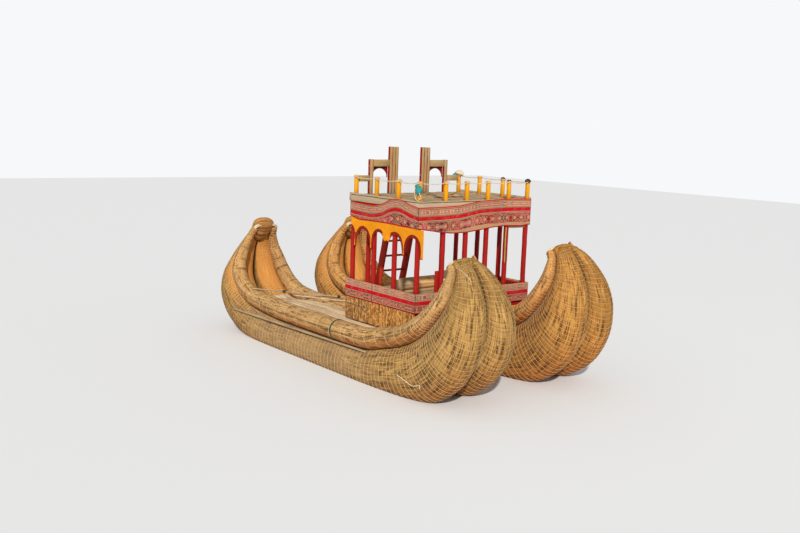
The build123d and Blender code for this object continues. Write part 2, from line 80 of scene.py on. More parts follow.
STARBOARD_STERN = MID_STERN + (
    (3050, -165, 2640, 795, 420, 395, 202, 20, 90),
    (3700, 20, 3060, 885, 424, 399, 198, 20, 20),
    (4210, 340, 3490, 1100, 425, 400, 190, 20, 0),
    (4450, 840, 3750, 1380, 414, 389, 178, 20, 0),
    (4400, 1310, 3820, 1620, 372, 347, 162, 22, 0),
    (4200, 1770, 3830, 1910, 285, 262, 138, 27, 0),
    (3980, 2160, 3760, 2150, 204, 188, 112, 40, 0),
    (3790, 2440, 3625, 2360, 146, 134, 86, 52, 0),
    (3650, 2640, 3480, 2510, 108, 99, 64, 58, 0),
)
PORT_BOW = MID_BOW + (
    (3570, 75, 2930, 1150, 448, 421, 194, 20, 20),
    (4100, 450, 3290, 1370, 462, 435, 183, 20, 0),
    (4410, 1000, 3550, 1640, 452, 427, 169, 20, 0),
    (4480, 1560, 3720, 1930, 418, 393, 156, 22, 0),
    (4390, 2030, 3780, 2190, 352, 328, 140, 26, 0),
    (4170, 2420, 3730, 2395, 274, 255, 112, 40, 0),
    (3960, 2660, 3640, 2530, 205, 191, 88, 52, 0),
    (3760, 2790, 3510, 2630, 140, 130, 66, 54, 0),
)
PORT_STERN = MID_STERN + (
    (2960, -130, 2640, 795, 420, 395, 202, 20, 90),
    (3530, 80, 3050, 885, 424, 399, 197, 20, 20),
    (4040, 400, 3460, 1105, 425, 400, 187, 20, 0),
    (4350, 880, 3690, 1380, 418, 393, 175, 20, 0),
    (4360, 1330, 3740, 1615, 392, 367, 160, 22, 0),
    (4190, 1780, 3760, 1905, 318, 294, 139, 27, 0),
    (3950, 2150, 3690, 2130, 236, 218, 114, 40, 0),
    (3760, 2430, 3580, 2335, 160, 148, 88, 52, 0),
    (3620, 2600, 3440, 2470, 110, 101, 66, 58, 0),
)
FINE_STEPS = 24
MAT_GAP, MAT_LEAST, MAT_SHOULDER = 0.004, 0.015, 0.85
ACROSS = np.array([0.0, 1.0, 0.0])

# Half width, radius and shift inward of the knots that close the tips. As shares of
# the radius: thickness on the inner side, length behind the tip, unevenness.
BOW_CAP = (0.300, 0.125, 0.025)
STERN_CAP = (0.262, 0.175, 0.015)
KNOB_INNER, KNOB_BEHIND, KNOB_ROUGH, KNOB_BLUNT = 0.95, 3.0, 0.05, 0.75
KNOB_ROWS, KNOB_COLUMNS, KNOB_GIRTH, KNOB_SEED = 34, 56, 0.8, 50

# Rope over a tip: radius and its share at the stern, distance back from the tip,
# share of the rolls' height in the middle and what the ends add, distance ahead at
# the ends and further in the middle, lift and further reach of each strand.
TIP_ROPE_R, TIP_ROPE_STERN, TIP_ROPE_BACK = 0.024, 0.6, 0.05
TIP_ROPE_LOW, TIP_ROPE_RISE = 0.55, 0.45
TIP_ROPE_AHEAD, TIP_ROPE_REACH, TIP_ROPE_BLUNT = 0.03, 0.125, 0.7
TIP_STRANDS = ((0.030, 0.0), (0.060, -0.018), (0.005, -0.016))

# Cut reeds beside that rope at the bow.
EAR_REEDS, EAR_LONG, EAR_R, EAR_LEAN, EAR_SEED = 9, 0.16, (0.030, 0.018), 0.35, 91
EAR_ACROSS, EAR_RISE, EAR_AHEAD = 0.320, 0.6, 0.05

# Valley along the seam of twin bundles, share of their height and of their girth.
SEAM_DEPTH, SEAM_WIDTH = 0.10, 0.035

# Bindings and wraps: gap between them near the tips and amidships, where it widens,
# distance of the first one from a tip, radius, girth in their UVs, depth of their
# centre line in the open and under a roll, waver.
BINDING_GAP_TIP, BINDING_GAP_MID = 0.078, 0.125
WRAP_GAP_TIP, WRAP_GAP_MID = 0.090, 0.420
WIDEN_FROM, WIDEN_OVER, FIRST_BINDING = 1.9, 1.2, 0.05
BINDING_R, WRAP_R, CORD_GIRTH = 0.0045, 0.0055, 0.03
BINDING_BITE, BINDING_UNDER_ROLL, WRAP_BITE, BINDING_WAVER = 0.0045, 0.03, 0.007, 0.0035

# Reeds of a bundle: points round it, depth under the surface, further depth at a
# binding and its width, unevenness, U at the seam below and back at the seam above.
BUNDLE_AROUND, BUNDLE_SINK, BUNDLE_BITE, BITE_WIDTH, BUNDLE_LUMPS = 73, 0.002, 0.006, 0.016, 0.004
BUNDLE_GIRTH, BUNDLE_CLOSE = 2.9, 2.95

# The same for a roll, its spacing of sections, the depth it sits in its bundle and
# its least radius.
ROLL_AROUND, ROLL_SINK, ROLL_DRAWN, WRAP_WIDTH, ROLL_LUMPS = 32, 0.002, 0.008, 0.02, 0.003
ROLL_STEP, WRAP_EDGE, ROLL_GIRTH = 0.05, 0.018, 1.3
ROLL_BITE, ROLL_LEAST = 0.012, 0.088

# Deck mat: its small bundles, points across each, rows, depth of the grooves and
# under the surface, least thickness.
MAT_RIDGES, MAT_PER_RIDGE, MAT_ROWS = 13, 6, 90
MAT_GROOVE, MAT_SINK, MAT_THIN = 0.009, 0.003, 0.004


# Camera.

def look_back():
    """Right, up and backward directions of the camera."""
    az, pitch = CAMERA_AZIMUTH, CAMERA_PITCH
    back = Vector((math.sin(az) * math.cos(pitch), -math.cos(az) * math.cos(pitch), math.sin(pitch)))
    right = (-back).cross(Vector((0, 0, 1))).normalized()
    up = right.cross(-back)
    rolled_right = math.cos(CAMERA_ROLL) * right + math.sin(CAMERA_ROLL) * up
    rolled_up = -math.sin(CAMERA_ROLL) * right + math.cos(CAMERA_ROLL) * up
    return rolled_right, rolled_up, back


camera_data = bpy.data.cameras.new("camera")
camera_data.sensor_width = CAMERA_SENSOR
camera_data.lens = CAMERA_LENS
camera = bpy.data.objects.new("camera", camera_data)
turn = Matrix(look_back()).transposed().to_4x4()
camera.matrix_world = Matrix.Translation(CAMERA_SPOT) @ turn
scene.collection.objects.link(camera)
scene.camera = camera
scene.view_settings.view_transform = "Standard"


# Mesh helpers.

class Shell:
    """Points, faces and UVs gathered into one mesh."""

    def __init__(self, lift=0.0):
        self.lift = np.array([0.0, 0.0, lift])
        self.points, self.faces, self.uvs = [], [], []
        self.count = 0

    def add(self, grids, uvs, wrap_rows=False, wrap_columns=False, caps=False):
        """Adds grids of points, (grid, row, column, 3), joined by four-sided faces."""
        grids = np.asarray(grids, float)
        if grids.ndim == 3:
            grids, uvs = grids[None], np.asarray(uvs)[None]
        k, n, m = grids.shape[:3]
        index = self.count + np.arange(k * n * m).reshape(k, n, m)
        if wrap_rows:
            index = np.concatenate([index, index[:, :1]], axis=1)
        if wrap_columns:
            index = np.concatenate([index, index[:, :, :1]], axis=2)
        uvs = np.broadcast_to(uvs, index.shape + (2,))
        corners = ((slice(None, -1), slice(None, -1)), (slice(None, -1), slice(1, None)),
                   (slice(1, None), slice(1, None)), (slice(1, None), slice(None, -1)))
        self.faces.append(np.stack([index[:, a, b] for a, b in corners], axis=-1).reshape(-1, 4))
        self.uvs.append(np.stack([uvs[:, a, b] for a, b in corners], axis=-2).reshape(-1, 4, 2))
        if caps:
            for row in (0, -1):
                self.faces.append(index[:, row, :m])
                self.uvs.append(uvs[:, row, :m])
        self.points.append(grids.reshape(-1, 3) + self.lift)
        self.count += k * n * m

    def mesh(self, name, smooth):
        """Mesh of everything added, its faces turned outward."""
        mesh = bpy.data.meshes.new(name)
        mesh.vertices.add(self.count)
        mesh.vertices.foreach_set("co", np.concatenate(self.points).ravel())
        loops = np.concatenate([f.ravel() for f in self.faces])
        sizes = np.concatenate([np.full(len(f), f.shape[1]) for f in self.faces])
        mesh.loops.add(len(loops))
        mesh.loops.foreach_set("vertex_index", loops)
        mesh.polygons.add(len(sizes))
        mesh.polygons.foreach_set("loop_start", np.concatenate([[0], np.cumsum(sizes)[:-1]]))
        mesh.update(calc_edges=True)
        layer = mesh.uv_layers.new(name="UVMap")
        layer.data.foreach_set("uv", np.concatenate([u.reshape(-1, 2) for u in self.uvs]).ravel())
        work = bmesh.new()
        work.from_mesh(mesh)
        bmesh.ops.recalc_face_normals(work, faces=work.faces)
        work.to_mesh(mesh)
        work.free()
        if smooth:
            mesh.shade_smooth()
        mesh.validate()
        return mesh


def link_object(name, data):
    """Puts a mesh or lamp in the scene."""
    obj = bpy.data.objects.new(name, data)
    scene.collection.objects.link(obj)
    return obj


def piece(name, shell, material, nodes=(), smooth=True):
    """A visible piece of the boat, which may stand for CAD nodes."""
    obj = link_object(name, shell.mesh(name, smooth))
    obj.data.materials.append(material)
    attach(obj, "root")
    if nodes:
        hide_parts(*nodes)
    return obj


def uv_grid(u, v):
    """UVs for a grid from its columns' u and its rows' v."""
    return np.stack(np.broadcast_arrays(np.asarray(u, float)[None, :],
                                        np.asarray(v, float)[:, None]), axis=-1)


def full_turn(count):
    """Angles spaced evenly round a circle."""
    return np.linspace(0, 2 * math.pi, count, endpoint=False)


def round_about(turns, first, second):
    """Directions at angles round each line, from two directions square to it."""
    return np.cos(turns)[:, None] * first[..., None, :] + np.sin(turns)[:, None] * second[..., None, :]


def path_frames(path, side):
    """Two directions square to a path of points, as even as the path allows."""
    tangent = np.gradient(path, axis=0)
    tangent /= np.linalg.norm(tangent, axis=1, keepdims=True)
    first = np.cross(tangent, np.asarray(side, float))
    first /= np.maximum(np.linalg.norm(first, axis=1, keepdims=True), 1e-6)
    return first, np.cross(tangent, first)


def add_tube(shell, path, radius, around=8, side=(0.0, 0.0, 1.0), closed=False, tone=0.0):
    """Round tube along a path, with UVs in metres."""
    path = np.asarray(path, float)
    if closed:
        longer = np.concatenate([path[-1:], path, path[:1]])
        first, second = [f[1:-1] for f in path_frames(longer, side)]
    else:
        first, second = path_frames(path, side)
    radius = np.broadcast_to(np.asarray(radius, float), (len(path),))
    grid = path[:, None] + radius[:, None, None] * round_about(full_turn(around), first, second)
    step = np.linalg.norm(np.diff(path, axis=0), axis=1)
    along = np.concatenate([[0.0], np.cumsum(step)])
    if closed:
        along = np.append(along, along[-1] + np.linalg.norm(path[0] - path[-1]))
    uv = uv_grid(np.linspace(0, 2 * math.pi * float(radius.max()), around + 1) + tone, along)
    shell.add(grid, uv, wrap_rows=closed, wrap_columns=True, caps=not closed)


def smooth_path(points):
    """Rounded line through a few points."""
    points = np.asarray(points, float)
    padded = np.concatenate([2 * points[:1] - points[1:2], points, 2 * points[-1:] - points[-2:-1]])
    found, steps = [], 8
    for i in range(len(points) - 1):
        p0, p1, p2, p3 = padded[i:i + 4]
        for k in range(steps):
            u = k / steps
            found.append(0.5 * (2 * p1 + (p2 - p0) * u + (2 * p0 - 5 * p1 + 4 * p2 - p3) * u * u
                                + (3 * p1 - p0 - 3 * p2 + p3) * u ** 3))
    found.append(points[-1])
    return np.array(found)


# Material helper.

class Nodes:
    """Short way to build a material's node tree."""

    def __init__(self, name):
        self.material = bpy.data.materials.new(name)
        self.material.use_nodes = True
        self.tree = self.material.node_tree
        self.tree.nodes.clear()
        self.shader = self.add("BsdfPrincipled")
        self.add("OutputMaterial", {"Surface": self.shader.outputs[0]})

    def put(self, socket, value):
        """Links a socket or sets a plain value."""
        if isinstance(value, bpy.types.NodeSocket):
            self.tree.links.new(value, socket)
        elif value is not None:
            if isinstance(value, (tuple, list)) and len(value) == 3 and socket.type == "RGBA":
                value = (*value, 1.0)
            socket.default_value = value

    def add(self, kind, inputs=None, **settings):
        """New node with its settings; its inputs, by name or number, linked or set."""
        node = self.tree.nodes.new("ShaderNode" + kind)
        for key, value in settings.items():
            setattr(node, key, value)
        for key, value in (inputs or {}).items():
            self.put(node.inputs[key], value)
        return node

    def coord(self, kind):
        """Texture coordinates."""
        return self.add("TexCoord").outputs[kind]

    def scaled(self, vector, scale):
        """Scaled coordinates."""
        return self.add("Mapping", {"Vector": vector, "Scale": scale}).outputs[0]

    def noise(self, vector, scale, detail, rough, distort=0.0):
        """Cloudy noise from 0 to 1."""
        return self.add("TexNoise", {"Vector": vector, "Scale": scale, "Detail": detail,
                                     "Roughness": rough, "Distortion": distort}).outputs["Fac"]

    def cells(self, vector):
        """A random colour for each cell, one to a unit."""
        return self.add("TexVoronoi", {"Vector": vector, "Scale": 1.0}, feature="F1").outputs["Color"]

    def white(self, vector):
        """A random number for each whole-numbered place."""
        return self.add("TexWhiteNoise", {"Vector": vector}, noise_dimensions="3D").outputs["Value"]

    def math(self, operation, a, b=0.0):
        """Arithmetic on two values."""
        return self.add("Math", {0: a, 1: b}, operation=operation).outputs[0]

    def plus(self, a, b):
        """Sum of two values."""
        return self.math("ADD", a, b)

    def minus(self, a, b):
        """Difference of two values."""
        return self.math("SUBTRACT", a, b)

    def times(self, a, b):
        """Product of two values."""
        return self.math("MULTIPLY", a, b)

    def remap(self, value, a, b, c=0.0, d=1.0, curve="LINEAR"):
        """Maps a range to another, clamped."""
        return self.add("MapRange", {0: value, 1: a, 2: b, 3: c, 4: d}, interpolation_type=curve).outputs[0]

    def between(self, value, low, high):
        """1 between two values, 0 elsewhere."""
        return self.times(self.math("GREATER_THAN", value, low), self.math("LESS_THAN", value, high))

    def ramp(self, value, stops, mode="LINEAR"):
        """Colour ramp from (place, colour) stops."""
        node = self.add("ValToRGB", {0: value})
        node.color_ramp.interpolation = mode
        while len(node.color_ramp.elements) < len(stops):
            node.color_ramp.elements.new(0.5)
        for element, (at, color) in zip(node.color_ramp.elements, stops):
            element.position = at
            element.color = (*color, 1.0)
        return node.outputs[0]

    def mix(self, factor, a, b, mode="MIX"):
        """Mixes two colours."""
        return self.add("Mix", {0: factor, 6: a, 7: b}, data_type="RGBA", blend_type=mode,
                        clamp_factor=True).outputs[2]

    def layers(self, color, layers):
        """Lays (value, its range, share at each end, colour) over a colour, in turn."""
        for value, a, b, c, d, over in layers:
            color = self.mix(self.remap(value, a, b, c, d), color, over)
        return color

    def split(self, vector):
        """X, Y and Z of a vector."""
        return self.add("SeparateXYZ", {0: vector}).outputs

    def join(self, x, y, z):
        """Vector from three values."""
        return self.add("CombineXYZ", {0: x, 1: y, 2: z}).outputs[0]

    def bump(self, height, strength, distance):
        """Surface normal from a height."""
        return self.add("Bump", {"Height": height, "Strength": strength, "Distance": distance}).outputs[0]

    def finish(self, color, rough, normal=None):
        """Sets the shader's inputs and gives the material."""
        for key, value in (("Specular IOR Level", SHINE), ("Base Color", color),
                           ("Roughness", rough), ("Normal", normal)):
            self.put(self.shader.inputs[key], value)
        return self.material


def faded(color, factor):
    """A darker or lighter colour."""
    return tuple(v * factor for v in color)


# Floor, world and lamps.

def stage_material():
    """Plain pale floor."""
    return Nodes("stage_floor").finish(FLOOR_COLOR, FLOOR_ROUGH)


def add_floor():
    """Floor at the waterline."""
    half = FLOOR_HALF
    shell = Shell()
    grid = [[(-half, -half, DRAFT), (half, -half, DRAFT)], [(-half, half, DRAFT), (half, half, DRAFT)]]
    shell.add(grid, uv_grid((0, 1), (0, 1)))
    floor = link_object("floor", shell.mesh("floor", False))
    floor.data.materials.append(stage_material())


def add_world():
    """Soft sky light; the camera sees a pale backdrop."""
    world = bpy.data.worlds.new("world")
    scene.world = world
    world.use_nodes = True
    tree = world.node_tree
    tree.nodes.clear()
    out = tree.nodes.new("ShaderNodeOutputWorld")
    mix = tree.nodes.new("ShaderNodeMixShader")
    light = tree.nodes.new("ShaderNodeBackground")
    show = tree.nodes.new("ShaderNodeBackground")
    path = tree.nodes.new("ShaderNodeLightPath")
    light.inputs[0].default_value = SKY_TINT
    light.inputs[1].default_value = SKY_LIGHT
    show.inputs[0].default_value = BACKDROP
    tree.links.new(path.outputs["Is Camera Ray"], mix.inputs[0])
    tree.links.new(light.outputs[0], mix.inputs[1])
    tree.links.new(show.outputs[0], mix.inputs[2])
    tree.links.new(mix.outputs[0], out.inputs[0])


def add_lamps():
    """Sun from the starboard bow and a broad fill."""
    sun_data = bpy.data.lights.new("sun", "SUN")
    sun_data.energy = SUN_ENERGY
    sun_data.angle = math.radians(SUN_ANGLE)
    sun_data.color = SUN_TINT
    sun = link_object("sun", sun_data)
    sun.rotation_mode = "QUATERNION"
    sun.rotation_quaternion = Vector(SUN_FROM).to_track_quat("Z", "Y")
    fill_data = bpy.data.lights.new("fill", "AREA")
    fill_data.energy = FILL_ENERGY
    fill_data.size = FILL_SIZE
    fill = link_object("fill", fill_data)
    fill.location = FILL_FROM
    fill.rotation_mode = "QUATERNION"
    fill.rotation_quaternion = (Vector(FILL_FROM) - Vector(FILL_AIM)).to_track_quat("Z", "Y")


add_floor()
add_world()
add_lamps()


# Materials: reed, cord and mat.

# U of the bundles' reeds where the painted shade of the seam below begins and its width.
SEAM_FROM, SEAM_SHADE_WIDTH = 2.83, 0.05
# Tints of the reeds: greyed amidships, port hull, painted shade of undersides; then the orange inner faces
# at the stern, brightened as painted sunlight, and where along x they begin.
GREYED, PORT_TINT, UNDERSIDE_SHADE_TINT = (0.36, 0.235, 0.125), (1.12, 0.93, 0.70), (0.80, 0.46, 0.24)
ORANGE_AND_SUNLIT_REEDS = ((0.30, (0.40, 0.155, 0.030)), (0.50, (0.62, 0.27, 0.062)), (0.70, (0.76, 0.38, 0.115)))
ORANGE_AND_SUNLIT_X = (-2.2, -2.8)
CORD_TWIST, CORD_LEAN = 160.0, 90.0


def reed_material(name, light, mid, dark, streak=110.0, shade_from=-0.15, greying_and_painted_sun=1.0):
    """Bound reeds: fibres along V, stains, single pale and dark stalks; greyer amidships to starboard,
    warmer on the port hull. Painted shade darkens the undersides and the seams; painted sunlight brightens
    the orange inner faces at the stern."""
    n = Nodes(name)
    uv = n.coord("UV")
    place = n.coord("Object")
    fibre = n.noise(n.scaled(uv, (streak, 1.6, 1)), 1.0, 3.0, 0.6)
    tone = n.split(n.cells(n.scaled(uv, (streak * 0.55, 3.2, 1))))[0]
    cloud = n.noise(place, 1.3, 4.0, 0.6)
    patch = n.noise(n.scaled(uv, (9, 1.6, 1)), 1.0, 3.0, 0.6)
    ring = n.noise(n.scaled(uv, (2.2, 38.0, 1)), 1.0, 3.0, 0.65)
    dash = n.split(n.cells(n.scaled(uv, (34, 8, 1))))[1]
    color = n.ramp(fibre, [(0.30, dark), (0.48, mid), (0.68, light)])
    color = n.layers(color, (
        (tone, 0.70, 1.0, 0.0, 0.65, faded(light, 1.1)),
        (tone, 0.04, 0.20, 0.95, 0.0, dark),
        (ring, 0.52, 0.68, 0.0, 0.6, faded(dark, 1.6)),
        (ring, 0.48, 0.34, 0.0, 0.45, light),
        (dash, 0.02, 0.14, 0.95, 0.0, dark),
        (cloud, 0.45, 0.70, 0.0, 0.65, faded(mid, 0.58)),
        (patch, 0.55, 0.67, 0.0, 0.75, faded(dark, 0.6)),
    ))
    x, y, z = n.split(place)
    midships = n.remap(n.math("ABSOLUTE", n.plus(x, 0.6)), 1.2, 3.4, 0.5, 0.0, "SMOOTHSTEP")
    grey = n.times(midships, n.math("LESS_THAN", y, 0.0))
    color = n.mix(n.times(grey, greying_and_painted_sun), color, GREYED)
    warm = n.mix(1.0, color, PORT_TINT, "MULTIPLY")
    color = n.mix(n.math("GREATER_THAN", y, 0.0), color, warm)
    facing = n.split(n.coord("Normal"))
    # Painted shade: faces that turn downward, past shade_from, are darkened and tinted orange.
    under = n.remap(facing[2], shade_from, shade_from - 0.6, 0.0, 0.8)
    color = n.mix(under, color, n.mix(1.0, color, UNDERSIDE_SHADE_TINT, "MULTIPLY"))
    # Inner faces at the stern that face the bow: partly the reeds' own orange, partly painted sunlight that
    # brightens them.
    inside = n.times(n.remap(x, *ORANGE_AND_SUNLIT_X), n.remap(facing[0], 0.15, 0.5))
    color = n.mix(n.times(inside, 0.85 * greying_and_painted_sun), color, n.ramp(fibre, ORANGE_AND_SUNLIT_REEDS))
    # Painted shade in the valleys along the seams below and above.
    across = n.split(uv)[0]
    seam = n.math("MAXIMUM", n.remap(across, SEAM_FROM, SEAM_FROM + SEAM_SHADE_WIDTH),
                  n.remap(across, SEAM_SHADE_WIDTH, 0.0))
    color = n.mix(n.times(seam, 0.75), color, faded(dark, 0.5))
    wet = n.remap(n.plus(z, n.times(cloud, 0.05)), DRAFT + 0.02, DRAFT + 0.10, 0.6, 0.0)
    color = n.mix(wet, color, faded(dark, 0.5))
    height = n.plus(n.times(fibre, 0.7), n.times(tone, 0.3))
    return n.finish(color, n.remap(fibre, 0.3, 0.7, 0.85, 0.65), n.bump(height, 0.7, 0.008))


def cord_material(name, light, dark):
    """Twisted grass cord with frayed fibres."""
    n = Nodes(name)
    uv = n.coord("UV")
    u, v, _ = n.split(uv)
    lay = n.math("FRACT", n.plus(n.times(v, CORD_TWIST), n.times(u, CORD_LEAN)))
    strand = n.remap(n.math("ABSOLUTE", n.minus(lay, 0.5)), 0.0, 0.5, 1.0, 0.0)
    stain = n.noise(n.coord("Object"), 9.0, 3.0, 0.6)
    color = n.mix(n.remap(strand, 0.0, 0.6), dark, light)
    color = n.mix(n.remap(stain, 0.5, 0.75, 0.0, 0.6), color, faded(dark, 0.8))
    return n.finish(color, 0.85, n.bump(strand, 0.5, 0.002))


def mat_material(name, light, mid, dark, streak=60.0):
    """Flattened reed mat, stalks along V, greyed and trodden."""
    n = Nodes(name)
    uv = n.coord("UV")
    stalk = n.split(n.cells(n.scaled(uv, (streak, 1.1, 1))))[0]
    fibre = n.noise(n.scaled(uv, (streak * 2, 3.0, 1)), 1.0, 3.0, 0.6)
    tread = n.noise(n.coord("Object"), 2.2, 4.0, 0.6)
    color = n.ramp(stalk, [(0.05, dark), (0.35, mid), (0.85, light)])
    color = n.layers(color, (
        (fibre, 0.35, 0.6, 0.5, 0.0, dark),
        (tread, 0.45, 0.7, 0.0, 0.5, faded(mid, 0.65)),
    ))
    return n.finish(color, 0.8, n.bump(n.plus(stalk, fibre), 0.5, 0.006))


REED = reed_material("reed_bundle", (0.60, 0.365, 0.118), (0.385, 0.203, 0.052), (0.105, 0.042, 0.010))
ROLL = reed_material("reed_roll", (0.76, 0.49, 0.215), (0.54, 0.30, 0.100), (0.17, 0.070, 0.018),
                     150.0, 0.05, 0.25)
CORD = cord_material("binding_cord", (0.66, 0.48, 0.27), (0.30, 0.17, 0.065))
MAT = mat_material("deck_reeds", (0.88, 0.66, 0.42), (0.76, 0.54, 0.32), (0.32, 0.18, 0.08))
CUT = mat_material("cut_reed_ends", (0.66, 0.36, 0.12), (0.44, 0.19, 0.05), (0.12, 0.045, 0.012), 90.0)
ROPE = cord_material("pale_rope", (0.80, 0.66, 0.46), (0.46, 0.33, 0.19))


# Hulls.

def hull_table(stern, bow):
    """Table rows from the stern tip to the bow tip, metres and radians."""
    rows = [(-row[0], row[1], -row[2], row[3]) + row[4:] for row in reversed(stern)]
    rows = np.array(rows + [HULL_MID] + list(bow), float)
    lengths = [0, 1, 2, 3, 4, 5, 6, 8]
    rows[:, lengths] /= 1000
    rows[:, 7] = np.radians(rows[:, 7])
    rows[:, [1, 3]] += DRAFT
    return rows


def blend(rows, steps, span):
    """Smooth curve through rows of numbers, spaced by their first ones."""
    at = np.concatenate([[0], np.cumsum(np.linalg.norm(np.diff(rows[:, :span], axis=0), axis=1))])
    last = len(rows) - 1
    slopes = np.zeros_like(rows)
    for i in range(last + 1):
        low, high = max(i - 1, 0), min(i + 1, last)
        slopes[i] = (rows[high] - rows[low]) / (at[high] - at[low])
        if 0 < i < last:
            slopes[i][(rows[i] - rows[low]) * (rows[high] - rows[i]) <= 0] = 0
    found = []
    for i in range(last * steps + 1):
        k = min(i // steps, last - 1)
        u = i / steps - k
        gap = at[k + 1] - at[k]
        p0, p1, d0, d1 = rows[k], rows[k + 1], slopes[k] * gap, slopes[k + 1] * gap
        found.append(p0 + u * (d0 + u * (3 * (p1 - p0) - 2 * d0 - d1 + u * (2 * (p0 - p1) + d0 + d1))))
    return np.array(found)


def binding_places(length, tip_gap, mid_gap):
    """Distances of the bindings, closer together near the tips."""
    found, at = [], FIRST_BINDING
    while at < length - FIRST_BINDING:
        found.append(at)
        from_end = min(at, length - at)
        widen = min(1.0, max(0.0, (from_end - WIDEN_FROM) / WIDEN_OVER))
        at += tip_gap + (mid_gap - tip_gap) * widen
    return np.array(found)


class Hull:
    """Smooth run of sections of one hull, and the places of its bindings."""

    def __init__(self, name, y, stern, bow):
        self.name, self.y = name, y
        self.fine = blend(hull_table(stern, bow), FINE_STEPS, 4)
        line = (self.fine[:, 0:2] + self.fine[:, 2:4]) / 2
        self.along = np.concatenate([[0], np.cumsum(np.linalg.norm(np.diff(line, axis=0), axis=1))])
        self.length = float(self.along[-1])
        self.bindings = binding_places(self.length, BINDING_GAP_TIP, BINDING_GAP_MID)
        self.wraps = binding_places(self.length, WRAP_GAP_TIP, WRAP_GAP_MID)

    def sections(self, where):
        """Middle, up direction and sizes a, b, c, r, g, m at distances along the hull."""
        rows = np.array([np.interp(where, self.along, column) for column in self.fine.T]).T
        flat = np.zeros(len(rows))
        outer = np.stack([rows[:, 0], flat, rows[:, 1]], axis=1)
        inner = np.stack([rows[:, 2], flat, rows[:, 3]], axis=1)
        a = np.linalg.norm(inner - outer, axis=1) / 2
        up = (inner - outer) / (2 * a[:, None])
        return (outer + inner) / 2, up, np.column_stack([a, rows[:, 4:]])


def spots(middle, up, across, rise):
    """Points of the sections at offsets across and up, row by row."""
    return middle[:, None] + across[..., None] * ACROSS + rise[..., None] * up[:, None]


def roll_offsets(sizes):
    """Across and up offset of the rolls in their sections."""
    a, b, c, r, g, _ = sizes.T
    r = np.maximum(r, ROLL_LEAST)
    across, rise = np.sin(g) / b, np.cos(g) / a
    reach = (r - ROLL_BITE) / np.hypot(across, rise)
    return c + b * np.sin(g) + across * reach, a * np.cos(g) + rise * reach


def oval_angles(sizes, count):
    """Angles from the seam over the top and outside to the seam below."""
    turn = np.arcsin(sizes[:, 2] / sizes[:, 1])
    return -turn[:, None] + np.linspace(0, 1, count)[None] * (math.pi + 2 * turn)[:, None]


def oval_offsets(sizes, angle, stand):
    """Offsets of points on the oval, stand metres outside it."""
    a, b, c = sizes[:, 0:1], sizes[:, 1:2], sizes[:, 2:3]
    across = c + (b + stand) * np.sin(angle)
    return np.maximum(across, 0.0), (a + stand) * np.cos(angle)


def seam_valley(share):
    """Depth of the valley at shares of the way round a bundle, from seam to seam."""
    return SEAM_DEPTH * np.exp(-(np.minimum(share, 1 - share) / SEAM_WIDTH) ** 2)


def make_bundle(hull, word, side, seed):
    """Main reed bundle, drawn in where the bindings bite."""
    random = np.random.default_rng(seed)
    gaps = np.diff(hull.bindings)
    between = [hull.bindings[:-1] + f * gaps for f in (0.2, 0.5, 0.8)]
    where = np.unique(np.concatenate([[0.0], hull.bindings, *between, [hull.length]]))
    middle, up, sizes = hull.sections(where)
    count = BUNDLE_AROUND
    near = np.min(np.abs(where[:, None] - hull.bindings[None]), axis=1)
    sink = BUNDLE_SINK + BUNDLE_BITE * np.exp(-(near / BITE_WIDTH) ** 2)
    lumps = random.uniform(0.0, BUNDLE_LUMPS, (len(where), count))
    lumps[:, 1:-1] = (lumps[:, :-2] + lumps[:, 1:-1] + lumps[:, 2:]) / 3
    valley = seam_valley(np.linspace(0, 1, count))[None] * sizes[:, 0:1]
    across, rise = oval_offsets(sizes, oval_angles(sizes, count), -(sink[:, None] + lumps + valley))
    grid = spots(middle, up, side * across, rise)
    grid[..., 1] += hull.y
    u = np.append(np.linspace(0, BUNDLE_GIRTH, count), BUNDLE_CLOSE)
    shell = Shell()
    shell.add(grid, uv_grid(u, where), wrap_columns=True, caps=True)
    piece(f"{hull.name}_reeds_{word}", shell, REED, (f"{hull.name}_bundle_{word}",))


def make_bindings(hull, word, side, seed):
    """Cords round one bundle."""
    random = np.random.default_rng(seed)
    count, around, cords = 64, 4, len(hull.bindings)
    share = np.linspace(0, 1, count)
    waver = sum(random.normal(0, BINDING_WAVER, (cords, 1))
                * np.sin(2 * math.pi * f * share[None] + random.uniform(0, 6.28, (cords, 1)))
                for f in (0.7, 1.6, 3.3))
    where = np.clip(hull.bindings[:, None] + waver, 0.0, hull.length)
    middle, up, sizes = hull.sections(where.ravel())
    turn = np.arcsin(sizes[:, 2] / sizes[:, 1])
    angle = -turn + np.tile(share, cords) * (math.pi + 2 * turn)
    sunk = (np.tile(seam_valley(share), cords) * sizes[:, 0]
            + np.where(angle < sizes[:, 4], BINDING_UNDER_ROLL, BINDING_BITE))
    across, rise = oval_offsets(sizes, angle[:, None], -sunk[:, None])
    centre = spots(middle, up, side * across, rise)[:, 0]
    normal_across = np.sin(angle) / sizes[:, 1]
    normal_rise = np.cos(angle) / sizes[:, 0]
    size = np.hypot(normal_across, normal_rise)
    out = (side * normal_across / size)[:, None] * ACROSS + (normal_rise / size)[:, None] * up
    forward = np.stack([up[:, 2], np.zeros(len(up)), -up[:, 0]], axis=1)
    grid = centre[:, None] + BINDING_R * round_about(full_turn(around), out, forward)
    grid[..., 1] += hull.y
    grid = grid.reshape(cords, count, around, 3)
    uv = uv_grid(np.linspace(0, CORD_GIRTH, around + 1), np.linspace(0, BUNDLE_GIRTH, count + 1))
    uv = np.repeat(uv[None], cords, axis=0)
    uv[..., 1] += np.arange(cords)[:, None, None] * 3.1
    shell = Shell()
    shell.add(grid, uv, wrap_rows=True, wrap_columns=True)
    piece(f"{hull.name}_bindings_{word}", shell, CORD)


